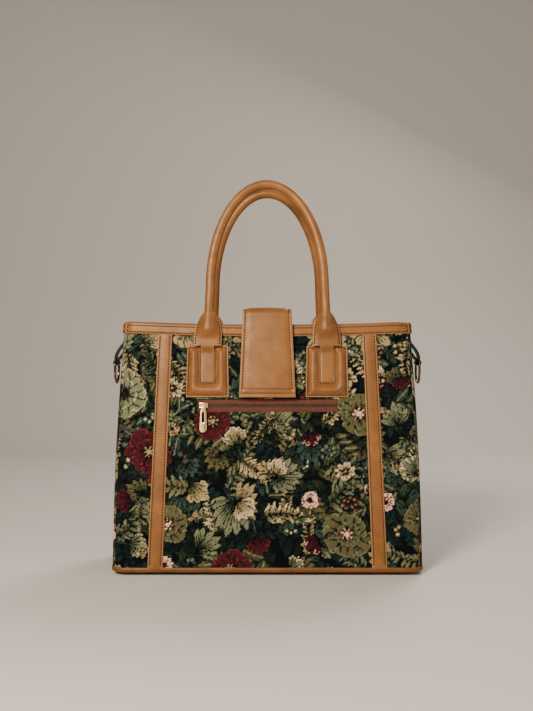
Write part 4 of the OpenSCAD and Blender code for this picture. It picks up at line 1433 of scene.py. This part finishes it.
def band_rows(bm, round_place, dips):
    def out_of(s, z):
        return (round_place(s, z, 1 * MM) - round_place(s, z)).normalized()

    for down in BAND_ROWS:
        def path(t):
            s = mix(-1 - BAND_END + 0.1, 1 + BAND_END - 0.1, t)
            z = rim_level(s, dips) - down
            return round_place(s, z, BAND_OUT - 0.15 * MM), out_of(s, z)
        sew(bm, path)
    for edge in (-1, 1):
        def path(t):
            s = edge * (1 + BAND_END - 2.6 * MM / CORNER_R)
            z = rim_level(s, dips) - mix(BAND_ROWS[1], BAND_ROWS[0], t)
            return round_place(s, z, BAND_OUT + 0.1 * MM), out_of(s, z)
        sew(bm, path)


for label in ("front", "back"):
    rows = bmesh.new()
    for side in (-1, 1):
        strip_rows(rows, side)
        patch_rows(rows, side)
    band_rows(rows, front_round, True)
    band_rows(rows, side_round, False)
    if label == "back":
        half_turn(rows)
    bag_stitches(f"{label}_stitches", rows)


# Zip of the front pocket
def tape_bm(side):
    """One tape, side 1 above the chain: hem, two fine ridges, edge at the chain."""
    outer = ZIP_H / 2 + 4 * MM
    inner = 1.6 * MM
    us = steps(-ZIP_L / 2 - 4 * MM, ZIP_L / 2 + 4 * MM, 60)
    vs = steps(inner, outer, 22)

    def height(v):
        ridge = 0.35 * MM * (bump_at(v, 3.2 * MM, 0.5 * MM) + bump_at(v, 5.0 * MM, 0.5 * MM))
        return -2.5 * MM + ridge + 0.5 * MM * bump_at(v, inner, 0.8 * MM)

    def top(x, v):
        return on_front(x, ZIP_Z + side * v, height(v))

    def under(x, v):
        return on_front(x, ZIP_Z + side * v, -3.2 * MM)

    return slab(us, vs, top, under)


def chain_bm():
    bm = bmesh.new()
    pitch = 1.25 * MM
    count = int(ZIP_L / pitch) - 2
    for k in range(count):
        x = -ZIP_L / 2 + (k + 1.5) * pitch
        side = 1 if k % 2 else -1
        spot = on_front(x, ZIP_Z + side * 0.7 * MM, -2.2 * MM)
        tooth = Matrix.Translation(spot) @ Matrix.Diagonal((0.95 * MM, 1.7 * MM, 2.5 * MM, 1))
        bmesh.ops.create_cube(bm, size=1, matrix=tooth)
    bmesh.ops.bevel(bm, geom=list(bm.edges), offset=0.28 * MM, segments=1, profile=0.5,
                    affect="EDGES", material=-1)
    return bm


trim_piece("upper_tape_cloth", tape_bm(1), "zip_tape_upper", TAPE)
trim_piece("lower_tape_cloth", tape_bm(-1), "zip_tape_lower", TAPE)
trim_piece("chain_teeth", chain_bm(), "zip_chain", TEETH)


# Slider and pull
ZIP_Y = -59.68 * MM
SLIDER_X = -76 * MM
PULL_Y = -63.273 * MM
PULL_LEAN = math.radians(6.1)
PULL_L = 31.6 * MM
PULL_SLOT = (7.6 * MM, 20.2 * MM)
PULL_HALF_W = 4.5 * MM
PULL_EYE = ((-2.3, 1.05), (-2.4, 1.5), (-2.2, 2.0), (2.2, 2.0), (2.4, 1.5), (2.3, 1.05), (-2.3, 1.05))
SLIDER_L = 10.5 * MM


def rounded(bm, offset):
    edges = [edge for edge in bm.edges if edge.is_manifold and edge.calc_face_angle() > math.radians(35)]
    bmesh.ops.bevel(bm, geom=edges, offset=offset, segments=2, profile=0.5, affect="EDGES", material=-1)
    return bm


def swept(bm, line, radius, sides=14):
    """Adds a round bar along a line of places."""
    count = len(line) - 1
    side = Vector((0, 0, 1)) if abs(line[0].z - line[-1].z) < MM else Vector((1, 0, 0))

    def place(a, k):
        ahead = (line[min(count, k + 1)] - line[max(0, k - 1)]).normalized()
        flank = side.cross(ahead).normalized()
        return line[k] + (side * math.cos(a) + flank * math.sin(a)) * radius

    bar = laid(bm, steps(0, math.tau, sides), list(range(count + 1)), place)
    weld(bm, bar)
    bmesh.ops.holes_fill(bm, edges=open_edges(bm))


def slider_bm():
    """Shield-shaped plate, lips round the chain and the bridge that carries the pull."""
    bm = bmesh.new()
    rows = steps(-SLIDER_L / 2, SLIDER_L / 2, 10)

    def plate(u, x):
        half = mix(3.3 * MM, 2.5 * MM, ease((x + 3 * MM) / (8 * MM)))
        return Vector((SLIDER_X + x, ZIP_Y + 0.1 * MM, ZIP_Z + u * half))

    faces = list(faces_of(laid(bm, steps(-1, 1, 4), rows, plate)))
    face_out(bm)
    bmesh.ops.solidify(bm, geom=faces, thickness=1.5 * MM)
    for side in (-1, 1):
        spot = Matrix.Translation((SLIDER_X, ZIP_Y + 0.7 * MM, ZIP_Z + side * 2.4 * MM))
        bmesh.ops.create_cube(bm, size=1, matrix=spot @ Matrix.Diagonal((10 * MM, 1.6 * MM, 1.4 * MM, 1)))
    face_out(bm)
    rounded(bm, 0.4 * MM)
    bend = [
        Vector((SLIDER_X + 2.9 * MM * math.cos(a), PULL_Y + 2.6 * MM * (1 - math.sin(a) ** 0.6), ZIP_Z))
        for a in steps(0.02, math.pi - 0.02, 18)
    ]
    swept(bm, bend, 0.9 * MM)
    return face_out(bm)


def pull_bm():
    """Slotted plate that hangs from its eye."""
    bm = bmesh.new()
    axis = Vector((SLIDER_X, PULL_Y, ZIP_Z))
    down = Vector((0, -math.sin(PULL_LEAN), -math.cos(PULL_LEAN)))
    out = Vector((0, -math.cos(PULL_LEAN), math.sin(PULL_LEAN)))
    low, high = PULL_SLOT
    rows = [d * MM for d in (1.4, 2.4, 3.6, 5)] + [low, low + 0.6 * MM] + steps(low, high, 7)[1:-1]
    rows += [high - 0.6 * MM, high, 22.5 * MM, 25 * MM, 27 * MM]
    rows += [PULL_L - d * MM for d in (3.4, 2.3, 1.4, 0.7, 0.25, 0.05)]

    def half(d):
        width = mix(2.3 * MM, 3.6 * MM, ease((d - 2.5 * MM) / (5 * MM)))
        width = mix(width, PULL_HALF_W, clamp01((d - 7 * MM) / (20 * MM)))
        return width * math.sqrt(max(0.0, 1 - clamp01((d - PULL_L + 4.2 * MM) / (4.25 * MM)) ** 2))

    def place(u, d):
        inner = abs(u) < 0.4
        x = math.copysign(1.4 * MM, u) if inner and low <= d <= high else u * half(d)
        if inner and (d == low or d == high):
            x *= 0.6
        crown = 0.6 * MM * (1 - (x / PULL_HALF_W) ** 2)
        return axis + down * d + out * (0.6 * MM + crown) + Vector((x, 0, 0))

    columns = [-1, -0.86, -0.6, -0.34, 0.34, 0.6, 0.86, 1]
    laid(bm, columns, rows, place, None, lambda u, d: abs(u) > 0.34 or not low < d < high)
    face_out(bm)
    bmesh.ops.solidify(bm, geom=list(bm.faces), thickness=1.6 * MM)
    face_out(bm)
    rounded(bm, 0.4 * MM)
    if bm.calc_volume(signed=True) < 0:
        bmesh.ops.reverse_faces(bm, faces=bm.faces)
    turns = steps(0, math.tau, 24)

    def eye(k, a):
        half_wide, r = PULL_EYE[k]
        return axis + Vector((half_wide * MM, r * MM * math.cos(a), r * MM * math.sin(a)))

    ring = laid(bm, list(range(len(PULL_EYE))), turns, eye)
    faces = faces_of(ring)
    weld(bm, ring)
    bmesh.ops.recalc_face_normals(bm, faces=[face for face in faces if face.is_valid])
    return bm


trim_piece("slider_metal", slider_bm(), "zip_slider", GOLD, "zip_slider")
trim_piece("pull_metal", pull_bm(), "zip_pull", GOLD, "zip_pull")

# Rings at the sides and their loops
RING_X = 188.597 * MM
RING_Z = 251 * MM
RING_ARC = 14.1 * MM
RING_LEG = 11 * MM
RING_R = 1.6 * MM
LOOP_TOP = 278 * MM
LOOP_FOOT = RING_Z + 2.4 * MM
LOOP_OFF = 2.1 * MM
LOOP_W = 20 * MM


def ring_line():
    """Middle line of a D ring, once round, in y and z from its bar."""
    bend = 3.2 * MM
    line = [(y, 0.0) for y in steps(0, RING_ARC - bend, 8)]
    for a in steps(0, math.pi / 2, 8)[1:]:
        line.append((RING_ARC - bend + bend * math.sin(a), -bend + bend * math.cos(a)))
    line += [(RING_ARC, z) for z in steps(-bend, -RING_LEG, 6)[1:]]
    for a in steps(0, math.pi / 2, 18)[1:]:
        line.append((RING_ARC * math.cos(a), -RING_LEG - RING_ARC * math.sin(a)))
    return line + [(-y, z) for y, z in reversed(line[:-1])]


def ring_bm():
    line = [Vector((RING_X, y, RING_Z + z)) for y, z in ring_line()]
    count = len(line) - 1

    def place(a, k):
        ahead = (line[(k + 1) % count] - line[(k - 1) % count]).normalized()
        flank = Vector((1, 0, 0)).cross(ahead)
        return line[k % count] + (Vector((1, 0, 0)) * math.cos(a) + flank * math.sin(a)) * RING_R

    return tube(steps(0, math.tau, 16), list(range(count + 1)), place, None, True)


def leg_at(t, bulge):
    """Middle of a leg of the folded leather: on the wall at bulge 0, at the ring's bar at 1."""
    z = mix(LOOP_TOP, LOOP_FOOT, t)
    return Vector((mix(side_x(0, z, LOOP_OFF), RING_X, bulge), 0, z))


def outer_leg(t):
    """The outer leg bulges from the wall at once."""
    return leg_at(t, math.sin(math.pi / 2 * clamp01((t - 0.06) / 0.84)) ** 1.3)


def inner_leg(t):
    """The inner leg follows the wall and leaves it late."""
    return leg_at(t, clamp01((t - 0.35) / 0.65) ** 1.6)


def leg_spots(leg, shares, face):
    """Points along one leg, each with the way out of it."""
    spots = []
    for t in shares:
        ahead = (leg(t + 0.02) - leg(t - 0.02)).normalized()
        out = Vector((-ahead.z, 0, ahead.x)) * face
        spots.append((leg(t) + out * 0.9 * MM, out))
    return spots


def loop_line():
    """Line of the folded leather: down outside, round the bar and up inside, with the way out of it."""
    shares = steps(0, 0.97, 18)
    bar = Vector((RING_X, 0, RING_Z))
    turn = [Vector((math.cos(a), 0, math.sin(a))) for a in steps(math.radians(50), math.radians(-250), 24)]
    fold = [(bar + out * 2.65 * MM, out) for out in turn]
    return leg_spots(outer_leg, shares, 1) + fold + leg_spots(inner_leg, shares[::-1], -1)


LOOP_LINE = loop_line()


def loop_bm():
    columns = [d - LOOP_W / 2 for d in both_ends(LOOP_W, EDGE_STEPS, 1.6 * MM)]

    def top(y, k):
        spot, out = LOOP_LINE[k]
        height = lifted(LOOP_W / 2 - abs(y), 0.85 * MM, 0.2 * MM, 0.2 * MM)
        return spot + out * height + Vector((0, y, 0))

    def under(y, k):
        spot, out = LOOP_LINE[k]
        return spot - out * 0.8 * MM + Vector((0, y, 0))

    # The loop's edges are lighter: the cut edge's tone and a painted highlight.
    def raw_and_highlight(y, k):
        return raw_and_highlight_share(LOOP_W / 2 - abs(y))

    return slab(columns, list(range(len(LOOP_LINE))), top, under, raw_and_highlight)


def loop_rows(bm):
    for edge in (-1, 1):
        def path(t):
            k = min(16.99, 1 + 15.9 * t)
            before, out = LOOP_LINE[int(k)]
            after = LOOP_LINE[int(k) + 1][0]
            spot = before.lerp(after, k - int(k)) + out * 0.85 * MM
            return spot + Vector((0, edge * (LOOP_W / 2 - STITCH_INSET), 0)), out
        sew(bm, path)
    return bm


for label in ("right", "left"):
    parts = [ring_bm(), loop_bm(), loop_rows(bmesh.new())]
    if label == "left":
        parts = [half_turn(bm) for bm in parts]
    trim_piece(f"{label}_ring_metal", parts[0], f"{label}_d_ring", BRONZE, f"{label}_d_ring")
    trim_piece(f"{label}_loop_leather", parts[1], f"{label}_ring_loop", DARK)
    bag_stitches(f"{label}_loop_stitches", parts[2])


# Lining and base
def lining_bm():
    """The lining as a sheet from under the rim band to the base, its faces towards the inside."""
    bm = bmesh.new()
    stations = [k + share for k in range(4) for share in steps(0, 1, 60)[:-1]] + [4.0]
    levels = steps(LINING_LOW, LINING_HIGH, 60)

    def place(t, z):
        inset = lining_inset(z)
        p = round_body(t, z, -inset)
        fold = 0.6 * MM * noise.noise((p.x * 24, p.y * 24, z * 14))
        fold *= ease((LINING_FOLD_TOP - z) / LINING_FOLD_RUN)
        return round_body(t, z, -inset + fold)

    laid(bm, stations, levels, place)
    weld(bm, bm.verts)
    foot = [edge for edge in open_edges(bm) if all(end.co.z < 2 * LINING_LOW for end in edge.verts)]
    bmesh.ops.holes_fill(bm, edges=foot)
    face_out(bm)
    if max(bm.faces, key=lambda face: face.calc_area()).normal.z < 0:
        bmesh.ops.reverse_faces(bm, faces=bm.faces)
    return bm


def base_bm():
    """Leather under the base."""
    bm = bmesh.new()
    count = 160
    made = bmesh.ops.create_circle(bm, cap_ends=True, segments=count, radius=1)["verts"]
    for k, corner in enumerate(made):
        corner.co = round_body(4 * k / count, 5.9 * MM, -3.8 * MM)
    under = bmesh.ops.extrude_face_region(bm, geom=list(bm.faces))["geom"]
    moved = [item for item in under if isinstance(item, bmesh.types.BMVert)]
    bmesh.ops.translate(bm, verts=moved, vec=(0, 0, -1.8 * MM))
    return rounded(face_out(bm), 0.5 * MM)


lining = trim_piece("lining_cloth", lining_bm(), "lining", LINING)
lining_cut()
trim_piece("base_leather", base_bm(), "base_panel")


# Feet under the base
def feet_bm():
    bm = bmesh.new()
    profile = [(0, 0), (3.2, 0.1), (5.4, 0.7), (6.4, 1.8), (6.5, 2.8), (6.5, 4.1)]
    for x in (-130, 130):
        for y in (-48, 48):
            start = [bm.verts.new(((x + r) * MM, y * MM, z * MM)) for r, z in profile]
            edges = [bm.edges.new(pair) for pair in zip(start, start[1:])]
            bmesh.ops.spin(bm, geom=start + edges, cent=(x * MM, y * MM, 0), axis=(0, 0, 1),
                           angle=math.tau, steps=28, use_merge=True)
    weld(bm, bm.verts)
    bmesh.ops.holes_fill(bm, edges=open_edges(bm))
    return face_out(bm)


trim_piece("feet_metal", feet_bm(), "base_feet", GOLD)

# Finishes of the parts that keep their shape
PLAIN_PARTS = (("base_board", BOARD), ("pocket_bag", LINING), ("snap_socket", GOLD), ("snap_stud", GOLD))
for node, material in PLAIN_PARTS:
    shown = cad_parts[node]
    shown.data.materials.clear()
    shown.data.materials.append(material)


# Floor, light and camera
def floor_bm():
    """Floor that curves up into a wall behind the bag."""
    bm = bmesh.new()
    reach = 3
    back = 1.3
    sweep = 0.6

    def place(x, t):
        if t < 1:
            return Vector((x, mix(-reach, back, t), 0))
        if t < 2:
            a = math.pi / 2 * (t - 1)
            return Vector((x, back + sweep * math.sin(a), sweep - sweep * math.cos(a)))
        return Vector((x, back + sweep, mix(sweep, reach, t - 2)))

    laid(bm, steps(-4, 4, 8), steps(0, 1, 4)[:-1] + steps(1, 2, 16)[:-1] + steps(2, 3, 4), place)
    return face_out(bm)


STAGE, _, stage_shader = new_material("Stage", Roughness=0.75, Specular_IOR_Level=0.2)
stage_shader.inputs["Base Color"].default_value = (*tone(208, 201, 192), 1)
finished("floor", floor_bm(), STAGE)


def add_light(name, place, aim, size, power, colour):
    lamp = bpy.data.lights.new(name, "AREA")
    lamp.shape = "DISK"
    lamp.size = size
    lamp.energy = power
    lamp.color = colour
    made = bpy.data.objects.new(name, lamp)
    made.location = place
    made.rotation_euler = (Vector(aim) - Vector(place)).to_track_quat("-Z", "Y").to_euler()
    bpy.context.collection.objects.link(made)


add_light("key", (-0.6, -1.4, 0.95), (0, 0, 0.2), 0.5, 43, (1.0, 0.91, 0.79))
add_light("fill", (1.5, -1.0, 0.8), (0, 0, 0.2), 1.2, 7, (1.0, 0.96, 0.92))
add_light("rear", (0.7, 1.15, 1.55), (0, 0, 0.2), 0.9, 22, (1.0, 0.95, 0.88))

world = bpy.data.worlds.new("Studio")
world.use_nodes = True
backdrop = world.node_tree.nodes["Background"]
backdrop.inputs["Color"].default_value = (1.0, 0.96, 0.92, 1)
backdrop.inputs["Strength"].default_value = 0.14
bpy.context.scene.world = world

lens = bpy.data.cameras.new("Camera")
lens.lens = 46
lens.sensor_width = 36
camera = bpy.data.objects.new("Camera", lens)
camera.location = (-0.001, -1.140, 0.260)
camera.rotation_euler = (math.radians(90), 0, 0)
bpy.context.collection.objects.link(camera)
bpy.context.scene.camera = camera
